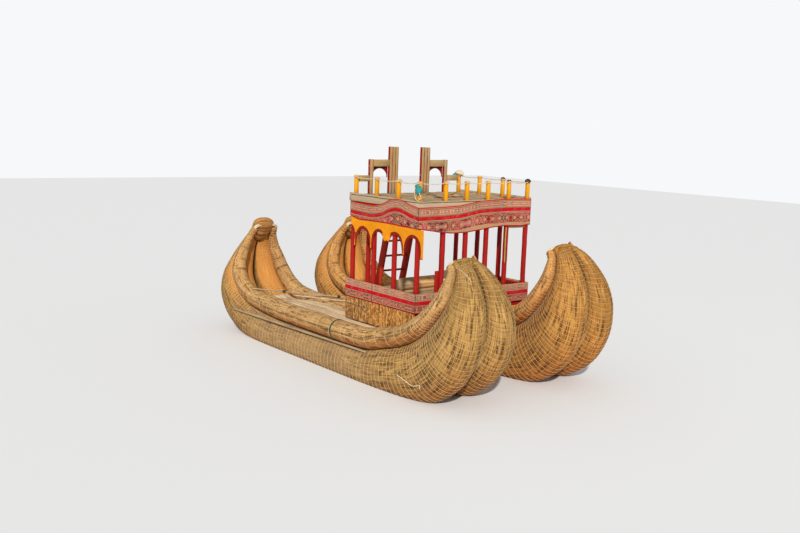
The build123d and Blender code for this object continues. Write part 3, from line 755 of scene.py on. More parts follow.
def roll_line(hull, where):
    """Centre, two cross directions and radius of a roll at distances along the hull."""
    middle, up, sizes = hull.sections(where)
    across, rise = roll_offsets(sizes)
    centre = middle + across[:, None] * ACROSS + rise[:, None] * up
    tangent = np.gradient(centre, axis=0)
    tangent /= np.linalg.norm(tangent, axis=1, keepdims=True)
    level = ACROSS - tangent * (tangent @ ACROSS)[:, None]
    level /= np.linalg.norm(level, axis=1, keepdims=True)
    return centre, level, np.cross(tangent, level), np.maximum(sizes[:, 3], ROLL_LEAST)


def mirrored(points, hull, side):
    """Points made for a left-hand roll, put on their side of a hull."""
    points = points * np.array([1.0, side, 1.0])
    points[..., 1] += hull.y
    return points


def make_roll(hull, word, side, seed):
    """Gunwale roll, drawn in at its wraps."""
    random = np.random.default_rng(seed)
    fill = np.arange(0.0, hull.length, ROLL_STEP)
    at_wraps = [hull.wraps, hull.wraps - WRAP_EDGE, hull.wraps + WRAP_EDGE]
    where = np.unique(np.round(np.concatenate([fill, *at_wraps, [hull.length]]), 4))
    where = where[(where >= 0) & (where <= hull.length)]
    centre, level, over, radius = roll_line(hull, where)
    near = np.min(np.abs(where[:, None] - hull.wraps[None]), axis=1)
    lumps = random.uniform(0.0, ROLL_LUMPS, (len(where), ROLL_AROUND))
    size = radius[:, None] - ROLL_SINK - ROLL_DRAWN * np.exp(-(near / WRAP_WIDTH) ** 2)[:, None] - lumps
    grid = centre[:, None] + size[..., None] * round_about(full_turn(ROLL_AROUND), level, over)
    uv = uv_grid(np.linspace(0, ROLL_GIRTH, ROLL_AROUND + 1), where)
    shell = Shell()
    shell.add(mirrored(grid, hull, side), uv, wrap_columns=True, caps=True)
    piece(f"{hull.name}_gunwale_{word}", shell, ROLL, (f"{hull.name}_roll_{word}",))


def make_wraps(hull, word, side):
    """Cords round one gunwale roll."""
    dense = np.linspace(0, hull.length, 400)
    columns = np.column_stack(roll_line(hull, dense)).T
    along = np.array([np.interp(hull.wraps, dense, column) for column in columns]).T
    centre, level, over, radius = along[:, :3], along[:, 3:6], along[:, 6:9], along[:, 9]
    count, around = 28, 4
    out = round_about(full_turn(count), level, over)
    ring = centre[:, None] + (radius - WRAP_BITE)[:, None, None] * out
    ahead = np.cross(level, over)[:, None]
    grid = ring[:, :, None] + WRAP_R * round_about(full_turn(around), out, ahead)
    uv = uv_grid(np.linspace(0, CORD_GIRTH, around + 1), np.linspace(0, ROLL_GIRTH, count + 1))
    shell = Shell()
    shell.add(mirrored(grid, hull, side), uv, wrap_rows=True, wrap_columns=True)
    piece(f"{hull.name}_wraps_{word}", shell, CORD)


def make_mat(hull):
    """Deck mat of reed bundles laid along the hull."""
    dense = np.linspace(0, hull.length, 2000)
    thick = hull.sections(dense)[2][:, 5]
    deck = dense[thick > MAT_LEAST]
    where = np.linspace(deck[0], deck[-1], MAT_ROWS)
    middle, up, sizes = hull.sections(where)
    share = np.linspace(-1, 1, MAT_RIDGES * MAT_PER_RIDGE + 1)
    wide = roll_offsets(sizes)[0] - sizes[:, 3] - MAT_GAP
    crown = 1 - (1 - MAT_SHOULDER) * share[None] ** 2
    ridge = np.abs(np.cos(math.pi * MAT_RIDGES * share / 2 + math.pi * MAT_RIDGES / 2))
    groove = MAT_GROOVE * (1 - ridge)
    low = sizes[:, 0:1]
    top = low + np.maximum(sizes[:, 5:6] * crown - MAT_SINK - groove[None], MAT_THIN)
    across = wide[:, None] * share[None]
    across = np.concatenate([across, wide[:, None], -wide[:, None]], axis=1)
    rise = np.concatenate([top, low, low], axis=1)
    grid = spots(middle, up, across, rise)
    grid[..., 1] += hull.y
    u = np.concatenate([(share + 1) * 0.36, [0.80, 0.90, 1.0]])
    shell = Shell()
    shell.add(grid, uv_grid(u, where), wrap_columns=True, caps=True)
    piece(f"{hull.name}_deck_reeds", shell, MAT, (f"{hull.name}_deck_mat",))


def tip_points(hull, end, back):
    """Middle, up and forward directions, and sizes, some way back from a tip."""
    at = hull.length - back if end > 0 else back
    middle, up, sizes = hull.sections(np.array([at]))
    shift = np.array([0.0, hull.y, 0.0])
    return middle[0] + shift, up[0], end * np.array([up[0, 2], 0.0, -up[0, 0]]), sizes


def make_knob(hull, word, end, size):
    """Knot of reed ends that closes a tip and runs back into the reeds."""
    half_width, radius, inward = size
    random = np.random.default_rng(KNOB_SEED + end)
    middle, up, ahead, _ = tip_points(hull, end, 0.0)
    polar = np.linspace(0.02, math.pi - 0.02, KNOB_COLUMNS)
    turns = full_turn(KNOB_ROWS)
    across = -half_width * np.cos(polar)
    girth = np.sin(polar) ** KNOB_BLUNT
    rough = 1 + random.uniform(-KNOB_ROUGH, KNOB_ROUGH, (KNOB_ROWS, KNOB_COLUMNS))
    inner = np.where(np.sin(turns) > 0, KNOB_INNER, 1.0)[:, None]
    behind = np.where(np.cos(turns) < 0, KNOB_BEHIND, 1.0)[:, None]
    lift = radius * girth[None] * np.sin(turns)[:, None] * inner * rough
    reach = radius * girth[None] * np.cos(turns)[:, None] * behind * rough
    grid = (middle + inward * up + across[None, :, None] * ACROSS
            + lift[..., None] * up + reach[..., None] * ahead)
    uv = uv_grid(np.linspace(0, KNOB_GIRTH, KNOB_ROWS + 1), across)
    shell = Shell()
    shell.add(grid.transpose(1, 0, 2), uv, wrap_columns=True, caps=True)
    material = CUT if end < 0 else REED
    piece(f"{hull.name}_{word}_knot", shell, material, (f"{hull.name}_{word}_cap",))


def make_tip_rope(hull, word, end):
    """Rope over a tip that ties the ends of both rolls."""
    middle, up, ahead, sizes = tip_points(hull, end, TIP_ROPE_BACK)
    across, rise = [float(v[0]) for v in roll_offsets(sizes)]
    wide, turns = across + 0.5 * float(sizes[0, 3]), np.linspace(-1, 1, 33)
    arc = np.sqrt(np.maximum(0.0, 1 - turns ** 2)) ** TIP_ROPE_BLUNT
    radius = TIP_ROPE_R if end > 0 else TIP_ROPE_STERN * TIP_ROPE_R
    shell = Shell()
    for strand, (lift, out) in enumerate(TIP_STRANDS):
        path = (middle + (wide * turns)[:, None] * ACROSS
                + (rise * (TIP_ROPE_LOW + TIP_ROPE_RISE * turns ** 2) + lift)[:, None] * up
                + (TIP_ROPE_AHEAD + (TIP_ROPE_REACH + out) * arc)[:, None] * ahead)
        add_tube(shell, path, radius, tone=float(strand))
    piece(f"{hull.name}_{word}_rope", shell, ROPE)


def make_ear(hull):
    """Cut reeds that stand out beside the rope of the bow tip."""
    random = np.random.default_rng(EAR_SEED)
    middle, up, ahead, sizes = tip_points(hull, 1, TIP_ROPE_BACK)
    rise = float(roll_offsets(sizes)[1][0])
    start = middle + EAR_ACROSS * ACROSS + (rise * EAR_RISE) * up + EAR_AHEAD * ahead
    shell = Shell()
    for i in range(EAR_REEDS):
        lean = random.normal(0, EAR_LEAN, 3)
        path = start + np.linspace(0, 1, 6)[:, None] * (EAR_LONG * (ahead + 0.5 * up + 0.4 * lean))
        add_tube(shell, path, np.linspace(*EAR_R, 6), 7, tone=float(i))
    piece(f"{hull.name}_bow_ear", shell, CUT)


def surface_point(hull, back, angle, stand):
    """Point on the right-hand bundle's surface, some way back from the bow tip."""
    middle, up, sizes = hull.sections(np.array([hull.length - back]))
    across, rise = oval_offsets(sizes, np.array([[angle]]), stand)
    point = spots(middle, up, -across, rise)[0, 0]
    point[1] += hull.y
    return point


def make_hulls():
    """Both hulls with their bindings."""
    seed = 11
    for hull in (STARBOARD, PORT):
        for word, side in (("left", 1), ("right", -1)):
            make_bundle(hull, word, side, seed)
            make_bindings(hull, word, side, seed + 1)
            make_roll(hull, word, side, seed + 2)
            make_wraps(hull, word, side)
            seed += 10
        make_mat(hull)
        make_knob(hull, "bow", 1, BOW_CAP)
        make_knob(hull, "stern", -1, STERN_CAP)
        make_tip_rope(hull, "bow", 1)
        make_ear(hull)
        make_tip_rope(hull, "stern", -1)


STARBOARD = Hull("starboard", STARBOARD_Y, STARBOARD_STERN, STARBOARD_BOW)
PORT = Hull("port", PORT_Y, PORT_STERN, PORT_BOW)
make_hulls()


# House: faces of its posts and heights above water, as in the part's source.

STERN, BOW, HALF = 0.279, 2.471, 1.500
POST, RAIL_POST = 0.078, 0.072
FLOOR_Z, FLOOR_T, BEAM_Z, DECK_Z, DECK_TOP, RAIL_TOP = 1.400, 0.070, 3.360, 3.480, 3.610, 4.008
FLOOR_TOP = FLOOR_Z + FLOOR_T
LOG_R, LOG_X, LOG_HALF = 0.060, (0.315, 1.020, 1.650, 2.250), 1.470
BLOCK, BLOCK_Y = 0.150, 1.312
LANDING_X, LANDING_Y, LANDING_LOG_X, LANDING_LOG_HALF = -0.330, 0.520, -0.250, 0.860
LANDING_LOG_Z = 1.146
POST_LINE = HALF - POST / 2
BOW_LINE = BOW - POST / 2
STARBOARD_POST_X = (0.355, 1.075, 1.736, BOW_LINE)
PORT_POST_X = (0.318, 1.006, 1.695)
BOW_POST_Y = (-0.835, -0.242, 0.326, 0.891)
STERN_POST_Y = (-1.030, 1.030)
STARBOARD_RAIL_X = (0.415, 1.107, 1.801, BOW_LINE)
PORT_RAIL_X = (0.318, 0.995, 1.711)
BOW_RAIL_Y = (-0.808, -0.254, 0.325, 0.912)
BRACE_Z = (3.030, 3.110)
DECK_LIP, DECK_BOARD_T, DECK_MAT_T, DECK_MAT_ABOVE = 0.020, 0.024, 0.030, 0.012
DECK_STERN, DECK_BOW, DECK_HALF = STERN - DECK_LIP, BOW + DECK_LIP, HALF + DECK_LIP
JOIST_X, JOIST_W, JOIST_H = (0.827, 1.375, 1.923), 0.060, 0.080
THATCH_T, BAND_T = 0.045, 0.008
LOWER_BAND = (1.490, 1.870)
LOWER_BAND_STERN = 0.239
PARAPET_RAIL, PARAPET_RAIL_Z, THIN_RAIL_HALF = 0.050, 1.800, 0.025
SKIRT_TOP, BOW_SKIRT_LOW, SKIRT_STERN = 1.840, 1.510, 0.244
TALL_POST_Y, TALL_POST_W, TALL_POST_TOP = 0.440, 0.240, 4.595
STEP_POST_Y, STEP_POST_W, STEP_POST_TOP = 1.030, 0.095, 4.325
MID_BEAM_Z, LOW_BEAM_Z = (4.175, 4.320), (3.865, 3.990)
GATE_T, GATE_ARCH_T, GATE_ARCH_DROP, GATE_ARCH_RISE, GATE_ARCH_EDGE = 0.070, 0.015, 0.230, 0.190, 0.012
LADDER_Y, LADDER_FOOT, LADDER_TOP = 0.340, (-0.236, 1.470), (0.225, 3.500)
STRINGER, RUNG = (0.185, 0.045), (0.045, 0.036)
RUNGS, RUNG_Z, RUNG_RISE = 5, 1.858, 0.339
BENCH_X, BENCH_Y, BENCH_R, BENCH_BOARD = 0.500, (-0.270, 0.760), 0.135, (0.190, 0.050)
SHELF_X, SHELF_Y, SHELF_Z = (2.310, 2.350), (-0.905, -0.775, -0.590), (2.090, 2.250)
SIDE_BOARD = (2.446, 2.471, 1.110, 1.300, 1.150, 1.400)
UPPER_BAND_SIDE = (
    # x, z of the upper edge
    (0.309, 3.475), (0.574, 3.461), (0.982, 3.446), (1.180, 3.461), (1.388, 3.507),
    (1.585, 3.592), (1.777, 3.637), (1.962, 3.635), (2.268, 3.554), (2.491, 3.520),
)
UPPER_BAND_SIDE_LOW = ((0.309, 3.175), (0.620, 3.115), (1.450, 3.130), (2.491, 3.110))
UPPER_BAND_BOW = (
    # y, z of the upper edge
    (-1.528, 3.520), (-0.970, 3.520), (-0.460, 3.540), (0.100, 3.620), (0.800, 3.640), (1.528, 3.630),
)
UPPER_BAND_BOW_LOW = (
    # y, z of the lower edge
    (-1.528, 3.110), (-1.177, 3.060), (-0.972, 3.026), (-0.661, 2.994), (-0.290, 2.995),
    (0.087, 3.031), (0.447, 3.070), (0.788, 3.087), (1.229, 3.063), (1.528, 3.087),
)
ARCH_X = (0.219, 0.478, 1.029, 1.522, 2.068, 2.604)
ARCH_FOOT, ARCH_RISE, PENDANT, ARCH_POWER = 2.550, 0.378, 0.078, 2.15
ARCH_PANEL_STERN, ARCH_PANEL_TOP, ARCH_PANEL_BOW_TOP, ARCH_PANEL_T = 0.345, 3.165, 3.100, 0.015
BROKEN_CUSP, BROKEN_CUSP_Z, BROKEN_HALF = 1.522, 2.785, 0.120
ARCH_RIM, ARCH_RIM_LEAST = 0.066, 0.018
SKIRT_LATH = (0.30, 1.05, -HALF - THATCH_T - 0.004, -HALF - THATCH_T + 0.004, 1.335, 1.352)
SIDE_POLE = ((-3.450, -0.8398, 0.600), (1.620, -0.6843, 0.618), 0.024)
DECK_POLE = ((-2.800, -0.700, 1.1766), (-1.280, 0.860, 1.0815), 0.016)

# Reeds of a skirt: spacing, layers, distance from the ends, lean. Their backing:
# its depth as a share of the skirt's, columns, gap above and below.
REED_PITCH, REED_LAYERS, REED_MARGIN, REED_LEAN = 0.0085, 3, 0.004, 0.026
REED_BACK, REED_BACK_COLUMNS, REED_BACK_GAP = 0.30, 60, 0.006


# Materials of the house.

PAINT_ROUGH, WOOD_GREY, STAIN = 0.55, (0.42, 0.36, 0.29), (0.30, 0.22, 0.15)


def painted_wood(name, paint, under, wear):
    """Paint on planed wood: brush streaks, faded patches, chips at the edges. U is
    whole at a beam's edges, V runs along it in metres."""
    n = Nodes(name)
    uv = n.coord("UV")
    place = n.coord("Object")
    side = n.math("FRACT", n.split(uv)[0])
    edge = n.math("MINIMUM", side, n.minus(1.0, side))
    grain = n.noise(n.scaled(uv, (14, 2.2, 1)), 1.0, 4.0, 0.65)
    blot = n.noise(place, 16.0, 5.0, 0.7)
    cloud = n.noise(place, 2.4, 3.0, 0.5)
    bare = n.remap(n.plus(blot, n.times(edge, 0.7)), wear, wear + 0.05, 1.0, 0.0)
    split = n.remap(grain, 0.24, 0.30, 0.7, 0.0)
    color = n.mix(n.remap(cloud, 0.35, 0.7, 0.0, 0.5), paint, faded(paint, 0.68))
    color = n.mix(n.remap(grain, 0.5, 0.8, 0.0, 0.35), color, faded(paint, 1.3))
    color = n.mix(split, color, faded(paint, 0.35))
    color = n.mix(n.times(bare, 0.85), color, under)
    height = n.minus(grain, n.times(bare, 0.6))
    rough = n.remap(blot, 0.3, 0.7, PAINT_ROUGH, PAINT_ROUGH + 0.2)
    return n.finish(color, rough, n.bump(height, 0.4, 0.002))


def bare_wood(name, light, dark, red_side=None):
    """Raw weathered wood with grain, knots and grey patches; faces to starboard may be red."""
    n = Nodes(name)
    uv = n.coord("UV")
    place = n.coord("Object")
    grain = n.noise(n.scaled(uv, (16, 1.5, 1)), 1.0, 5.0, 0.65, 0.6)
    line = n.noise(n.scaled(uv, (60, 2.0, 1)), 1.0, 3.0, 0.6)
    cloud = n.noise(place, 3.0, 4.0, 0.6)
    color = n.ramp(grain, [(0.30, dark), (0.55, light), (0.75, faded(light, 1.12))])
    color = n.layers(color, (
        (line, 0.30, 0.42, 0.6, 0.0, faded(dark, 0.55)),
        (cloud, 0.45, 0.7, 0.0, 0.45, WOOD_GREY),
    ))
    if red_side:
        facing = n.split(n.coord("Normal"))[1]
        chips = n.noise(place, 18.0, 4.0, 0.7)
        red = n.times(n.math("LESS_THAN", facing, -0.5), n.remap(chips, 0.34, 0.40))
        color = n.mix(red, color, n.mix(n.remap(cloud, 0.4, 0.7), red_side, faded(red_side, 0.7)))
    return n.finish(color, 0.75, n.bump(n.plus(grain, line), 0.4, 0.003))


def thatch_material(name, light, mid, dark):
    """Upright reeds: each strand has its own tone, browner towards the stern to starboard, darker and
    lighter in tangled clumps.
    """
    n = Nodes(name)
    uv = n.coord("UV")
    tone = n.white(n.join(n.math("FLOOR", n.plus(n.split(uv)[0], 0.001)), 0.0, 0.0))
    fibre = n.noise(n.scaled(uv, (6, 3.5, 1)), 1.0, 3.0, 0.6)
    x, y, z = n.split(n.coord("Object"))
    browner = n.times(n.math("LESS_THAN", y, -1.4), n.remap(x, 1.05, 1.12, 0.75, 0.0))
    color = n.ramp(tone, [(0.05, dark), (0.35, mid), (0.9, light)])
    color = n.mix(n.remap(fibre, 0.35, 0.6, 0.6, 0.0), color, dark)
    color = n.mix(browner, color, n.mix(tone, (0.12, 0.055, 0.02), (0.52, 0.29, 0.11)))
    lean = n.times(z, 9.0)
    tangle = n.join(n.plus(n.times(x, 30.0), lean),
                    n.minus(n.times(y, 30.0), lean), n.times(z, 13.0))
    clump = n.noise(tangle, 1.0, 3.0, 0.6)
    color = n.layers(color, (
        (clump, 0.48, 0.38, 0.0, 0.85, faded(dark, 1.3)),
        (clump, 0.54, 0.64, 0.0, 0.85, faded(light, 1.15)),
    ))
    return n.finish(color, 0.75, n.bump(fibre, 0.4, 0.003))


def cloth_material(name, stops, motif_rows, seed):
    """Woven cloth: stripes by the distance below the upper edge (V), and mirrored
    figures in some rows, drawn by threads. U runs along the cloth in metres."""
    n = Nodes(name)
    uv = n.coord("UV")
    u, v, _ = n.split(uv)
    fold_shade = n.noise(n.coord("Object"), 3.0, 3.0, 0.5)
    span = stops[-1][0]
    color = n.ramp(n.math("DIVIDE", v, span), [(at / span, c) for at, c in stops[:-1]], "CONSTANT")
    for low, high, pitch, thread, palette, cover in motif_rows:
        repeat = n.math("DIVIDE", u, pitch)
        cell = n.math("FRACT", repeat)
        mirror = n.math("MINIMUM", cell, n.minus(1.0, cell))
        column = n.math("FLOOR", n.math("DIVIDE", n.times(mirror, pitch), thread))
        rise = n.minus(v, (low + high) / 2)
        row = n.math("FLOOR", n.math("DIVIDE", n.math("ABSOLUTE", rise), thread))
        kind = n.math("FLOOR", repeat)
        sign = n.math("MODULO", kind, 3.0)
        pick = n.white(n.join(n.plus(column, seed), row, sign))
        hue = n.white(n.join(kind, n.math("FLOOR", n.math("DIVIDE", row, 2.0)), seed + 5.0))
        reach = n.plus(n.math("DIVIDE", n.times(mirror, pitch), pitch / 2),
                       n.math("DIVIDE", n.math("ABSOLUTE", rise), (high - low) / 2))
        inside = n.times(n.between(v, low, high), n.math("GREATER_THAN", reach, 0.45))
        shown = n.times(inside, n.math("LESS_THAN", pick, cover))
        figures = n.ramp(hue, [(i / len(palette), c) for i, c in enumerate(palette)], "CONSTANT")
        color = n.mix(shown, color, figures)
    weave_u = n.math("SINE", n.times(u, 900.0))
    weave_v = n.math("SINE", n.times(v, 900.0))
    weave = n.times(weave_u, weave_v)
    stain = n.noise(n.coord("Object"), 7.0, 4.0, 0.65)
    # Stains, then painted shade of the folds.
    color = n.layers(color, (
        (stain, 0.5, 0.75, 0.0, 0.35, STAIN),
        (fold_shade, 0.35, 0.65, 0.15, 0.0, (0.05, 0.03, 0.02)),
    ))
    return n.finish(color, 0.9, n.bump(weave, 0.3, 0.001))


RED_PAINT = painted_wood("red_paint", (0.40, 0.014, 0.010), (0.34, 0.17, 0.09), 0.31)
BRIGHT_RED = painted_wood("ladder_red", (0.52, 0.030, 0.014), (0.40, 0.20, 0.11), 0.31)
YELLOW_PAINT = painted_wood("yellow_paint", (0.80, 0.34, 0.008), (0.42, 0.27, 0.12), 0.40)
ORANGE_BOARD = painted_wood("orange_board", (0.75, 0.20, 0.015), (0.34, 0.20, 0.10), 0.40)
RAW_WOOD = bare_wood("raw_wood", (0.50, 0.33, 0.17), (0.26, 0.15, 0.065))
PALE_WOOD = bare_wood("pale_wood", (0.50, 0.37, 0.23), (0.27, 0.18, 0.10))
GATE_WOOD = bare_wood("gate_wood", (0.45, 0.295, 0.125), (0.21, 0.12, 0.048), (0.30, 0.014, 0.010))
LOG_WOOD = bare_wood("log_wood", (0.34, 0.23, 0.13), (0.15, 0.09, 0.045))
DARK_WOOD = bare_wood("dark_wood", (0.22, 0.13, 0.07), (0.09, 0.05, 0.03))
THATCH = thatch_material("reed_thatch", (0.84, 0.45, 0.135), (0.56, 0.24, 0.055), (0.17, 0.060, 0.013))
DECK_MAT = mat_material("deck_mat_pale", (0.60, 0.44, 0.26), (0.44, 0.30, 0.16), (0.20, 0.12, 0.06))
TEAL = cord_material("teal_cord", (0.05, 0.34, 0.33), (0.02, 0.14, 0.15))
GREEN = cord_material("green_cord", (0.46, 0.52, 0.10), (0.20, 0.24, 0.05))
BLACK = cord_material("dark_knot", (0.06, 0.05, 0.05), (0.02, 0.02, 0.02))
SCRAP = cord_material("cloth_scrap", (0.42, 0.30, 0.20), (0.20, 0.12, 0.08))

RED_DYE, BRIGHT_DYE = (0.30, 0.008, 0.020), (0.52, 0.003, 0.016)
CREAM, TAN, OLIVE = (0.60, 0.36, 0.215), (0.50, 0.27, 0.135), (0.17, 0.10, 0.030)
PINK, PURPLE = (0.47, 0.045, 0.085), (0.11, 0.010, 0.035)
HEM_V, HEM = 0.80, 0.024
UPPER_STRIPES = (
    # distance below the upper edge where each colour starts
    (0.000, BRIGHT_DYE), (0.020, TAN), (0.030, OLIVE), (0.045, CREAM), (0.150, OLIVE),
    (0.160, TAN), (0.168, OLIVE), (0.177, BRIGHT_DYE), (0.250, CREAM), (0.262, OLIVE),
    (0.275, TAN), (HEM_V - 0.02, BRIGHT_DYE), (HEM_V + 0.02, BRIGHT_DYE),
)
LOWER_STRIPES = (
    (0.000, TAN), (0.012, OLIVE), (0.018, CREAM), (0.118, OLIVE), (0.128, CREAM),
    (0.138, BRIGHT_DYE), (0.222, CREAM), (0.230, OLIVE), (0.240, TAN),
    (HEM_V - 0.02, BRIGHT_DYE), (HEM_V + 0.02, BRIGHT_DYE),
)
UPPER_BAND_CLOTH = cloth_material("upper_band_cloth", UPPER_STRIPES, (
    # from, to, pitch, thread, colours, share of the threads
    (0.055, 0.140, 0.090, 0.0095, (PINK, RED_DYE, PURPLE, PINK), 0.50),
    (0.285, 0.480, 0.210, 0.0150, (RED_DYE, PURPLE, RED_DYE, PINK, PURPLE, RED_DYE), 0.66),
), 3.0)
LOWER_BAND_CLOTH = cloth_material("lower_band_cloth", LOWER_STRIPES, (
    (0.028, 0.112, 0.105, 0.0100, (RED_DYE, PURPLE, PINK, RED_DYE), 0.52),
    (0.240, 0.345, 0.150, 0.0110, (RED_DYE, PURPLE, PINK, PURPLE, RED_DYE), 0.60),
), 17.0)


# Beams and boards.

def add_beam(shell, start, end, wide, deep, toward, seed, chamfer=0.005, wobble=0.0012):
    """Chamfered beam; U is whole at its edges, V runs along it in metres."""
    random = np.random.default_rng(seed)
    start, end = np.asarray(start, float), np.asarray(end, float)
    length = float(np.linalg.norm(end - start))
    line = (end - start) / length
    depth = np.asarray(toward, float)
    depth = depth - line * (depth @ line)
    depth /= np.linalg.norm(depth)
    width = np.cross(line, depth)
    inner = np.linspace(chamfer, length - chamfer, max(3, int(length / 0.12)))
    at = np.concatenate([[0.0], inner, [length]])
    h, k, c = wide / 2, deep / 2, min(chamfer, wide / 4, deep / 4)
    outline = np.array([(-h + c, -k), (0, -k), (h - c, -k), (h, -k + c), (h, 0), (h, k - c),
                        (h - c, k), (0, k), (-h + c, k), (-h, k - c), (-h, 0), (-h, -k + c)])
    shrink = np.ones((len(at), 1, 2))
    shrink[[0, -1]] = 1 - c / np.array([h, k])
    bend = random.normal(0, wobble, (len(at), 1, 2))
    bend[[0, 1, -2, -1]] = 0
    bruise = random.uniform(0, wobble, (len(at), len(outline), 1))
    section = outline[None] * shrink * (1 - bruise / max(h, k)) + bend
    grid = start + at[:, None, None] * line + section[..., :1] * width + section[..., 1:] * depth
    u = np.array([k + s for k in range(4) for s in (0.02, 0.5, 0.98)] + [4.02])
    shell.add(grid, uv_grid(u + 4 * random.integers(0, 40), at + random.uniform(0, 40)),
              wrap_columns=True, caps=True)


def add_box(shell, box, along, seed, chamfer, wobble):
    """Beam that fills (x0, x1, y0, y1, z0, z1), with its grain along one axis."""
    low, high = np.array(box[::2], float), np.array(box[1::2], float)
    axis = "xyz".index(along)
    start = (low + high) / 2
    end = start.copy()
    start[axis], end[axis] = low[axis], high[axis]
    toward = np.zeros(3)
    toward[(axis + 1) % 3] = 1
    size = high - low
    add_beam(shell, start, end, size[(axis + 2) % 3], size[(axis + 1) % 3], toward, seed, chamfer, wobble)


def make_boxes(name, boxes, along, material, nodes, seed, chamfer=0.005, wobble=0.0012):
    """Several beams as one piece; along is one letter, or one for each beam."""
    shell = Shell(DRAFT)
    for i, box in enumerate(boxes):
        add_box(shell, box, along[i % len(along)], seed * 100 + i, chamfer, wobble)
    piece(name, shell, material, nodes, smooth=False)


def square_post(x, y, size, low, high):
    """Box of an upright post."""
    return (x - size / 2, x + size / 2, y - size / 2, y + size / 2, low, high)


def post_centres(starboard, bow, port):
    """Centres of posts round three sides of the house."""
    centres = [(x, -POST_LINE) for x in starboard] + [(BOW_LINE, y) for y in bow]
    return centres + [(BOW_LINE, POST_LINE)] + [(x, POST_LINE) for x in port]


def beam_ring(x0, x1, y1, thick, low, high):
    """Two beams along the boat and two across that frame a storey."""
    across = (-y1 + thick, y1 - thick, low, high)
    return [(x0, x1, -y1, -y1 + thick, low, high), (x0, x1, y1 - thick, y1, low, high),
            (x0, x0 + thick, *across), (x1 - thick, x1, *across)]


def board_row(x0, x1, y0, y1, z0, z1, pitch, gap, across="y"):
    """Boards side by side that fill a slab."""
    low, high = (x0, x1) if across == "x" else (y0, y1)
    count = max(1, round((high - low) / pitch))
    step = (high - low) / count
    edges = [(low + i * step + gap / 2, low + (i + 1) * step - gap / 2) for i in range(count)]
    if across == "x":
        return [(a, b, y0, y1, z0, z1) for a, b in edges]
    return [(x0, x1, a, b, z0, z1) for a, b in edges]


def make_round(name, rods, material, nodes, around, rough):
    """Round logs or poles, (start, end, radius) each, a little uneven."""
    shell = Shell(DRAFT)
    for i, (start, end, radius) in enumerate(rods):
        random = np.random.default_rng(700 + i)
        start, end = np.asarray(start, float), np.asarray(end, float)
        count = max(4, int(np.linalg.norm(end - start) / 0.09))
        share = np.concatenate([[0.0, 0.001], np.linspace(0.02, 0.98, count), [0.999, 1.0]])
        size = radius * (1 - random.uniform(0, rough, len(share)))
        size[[0, -1]] *= 0.8
        add_tube(shell, start + share[:, None] * (end - start), size, around, tone=float(i))
    piece(name, shell, material, nodes)


def make_logs():
    """Logs across both hulls and the landing's log, on their blocks."""
    places = [(x, LOG_HALF, FLOOR_Z - LOG_R) for x in LOG_X]
    places.append((LANDING_LOG_X, LANDING_LOG_HALF, LANDING_LOG_Z))
    logs = [((x, -y, z), (x, y, z), LOG_R) for x, y, z in places]
    make_round("logs_across", logs, LOG_WOOD, ("cross_logs",), 16, 0.05)
    blocks = [square_post(x, y, BLOCK, mat_height(x), FLOOR_Z - 2 * LOG_R)
              for x in LOG_X for y in (-BLOCK_Y, BLOCK_Y)]
    blocks += [(LANDING_LOG_X - LOG_R, LANDING_LOG_X + LOG_R, y - BLOCK / 2, y + BLOCK / 2,
                LANDING_LOG_Z + LOG_R, FLOOR_Z)
               for y in (-LANDING_Y + BLOCK / 2, LANDING_Y - BLOCK / 2)]
    make_boxes("blocks_under_logs", blocks, "z", LOG_WOOD, ("log_blocks",), 2, 0.008, 0.002)


def make_floor():
    """Sill beams, floor mat between them and the landing at the stern."""
    sill = beam_ring(STERN, BOW, HALF, POST, FLOOR_Z, FLOOR_TOP)
    make_boxes("sill_beams", sill, "xxyy", RED_PAINT, ("sill_frame",), 3)
    floor = board_row(STERN + POST, BOW - POST, -HALF + POST, HALF - POST, FLOOR_Z, FLOOR_TOP - 0.004,
                      0.130, 0.004)
    make_boxes("floor_reeds", floor, "x", DECK_MAT, ("floor_mat",), 4, 0.012)
    landing = board_row(LANDING_X, STERN, -LANDING_Y, LANDING_Y, FLOOR_Z, FLOOR_TOP, 0.130, 0.006)
    make_boxes("landing_boards", landing, "x", PALE_WOOD, ("stern_landing",), 5, 0.006, 0.002)


def make_posts():
    """Red posts of the house, yellow posts of the upper deck and the raw brace."""
    red = [square_post(x, y, POST, FLOOR_TOP, BEAM_Z)
           for x, y in post_centres(STARBOARD_POST_X, BOW_POST_Y, PORT_POST_X)]
    make_boxes("red_posts", red, "z", RED_PAINT, ("house_posts",), 6)
    stern = [(STERN, STERN + POST, y - POST / 2, y + POST / 2, FLOOR_TOP, BEAM_Z) for y in STERN_POST_Y]
    make_boxes("stern_red_posts", stern, "z", RED_PAINT, ("stern_posts",), 7)
    yellow = [square_post(x, y, RAIL_POST, DECK_TOP, RAIL_TOP)
              for x, y in post_centres(STARBOARD_RAIL_X, BOW_RAIL_Y, PORT_RAIL_X)]
    make_boxes("yellow_posts", yellow, "z", YELLOW_PAINT, ("rail_posts",), 8)
    brace = [(BOW_LINE - THIN_RAIL_HALF, BOW_LINE + THIN_RAIL_HALF, BOW_POST_Y[3] + POST / 2,
              POST_LINE - POST / 2, *BRACE_Z)]
    make_boxes("raw_brace", brace, "y", RAW_WOOD, ("bow_brace",), 9)


def make_deck_frame():
    """Beams and joists under the upper deck."""
    beams = beam_ring(STERN, BOW, HALF, POST, BEAM_Z, DECK_Z)
    make_boxes("deck_beams", beams, "xxyy", RED_PAINT, ("upper_deck_frame",), 10)
    joists = [(x - JOIST_W / 2, x + JOIST_W / 2, -HALF + POST, HALF - POST, DECK_Z - JOIST_H, DECK_Z)
              for x in JOIST_X]
    make_boxes("joists", joists, "y", RAW_WOOD, ("upper_joists",), 11)


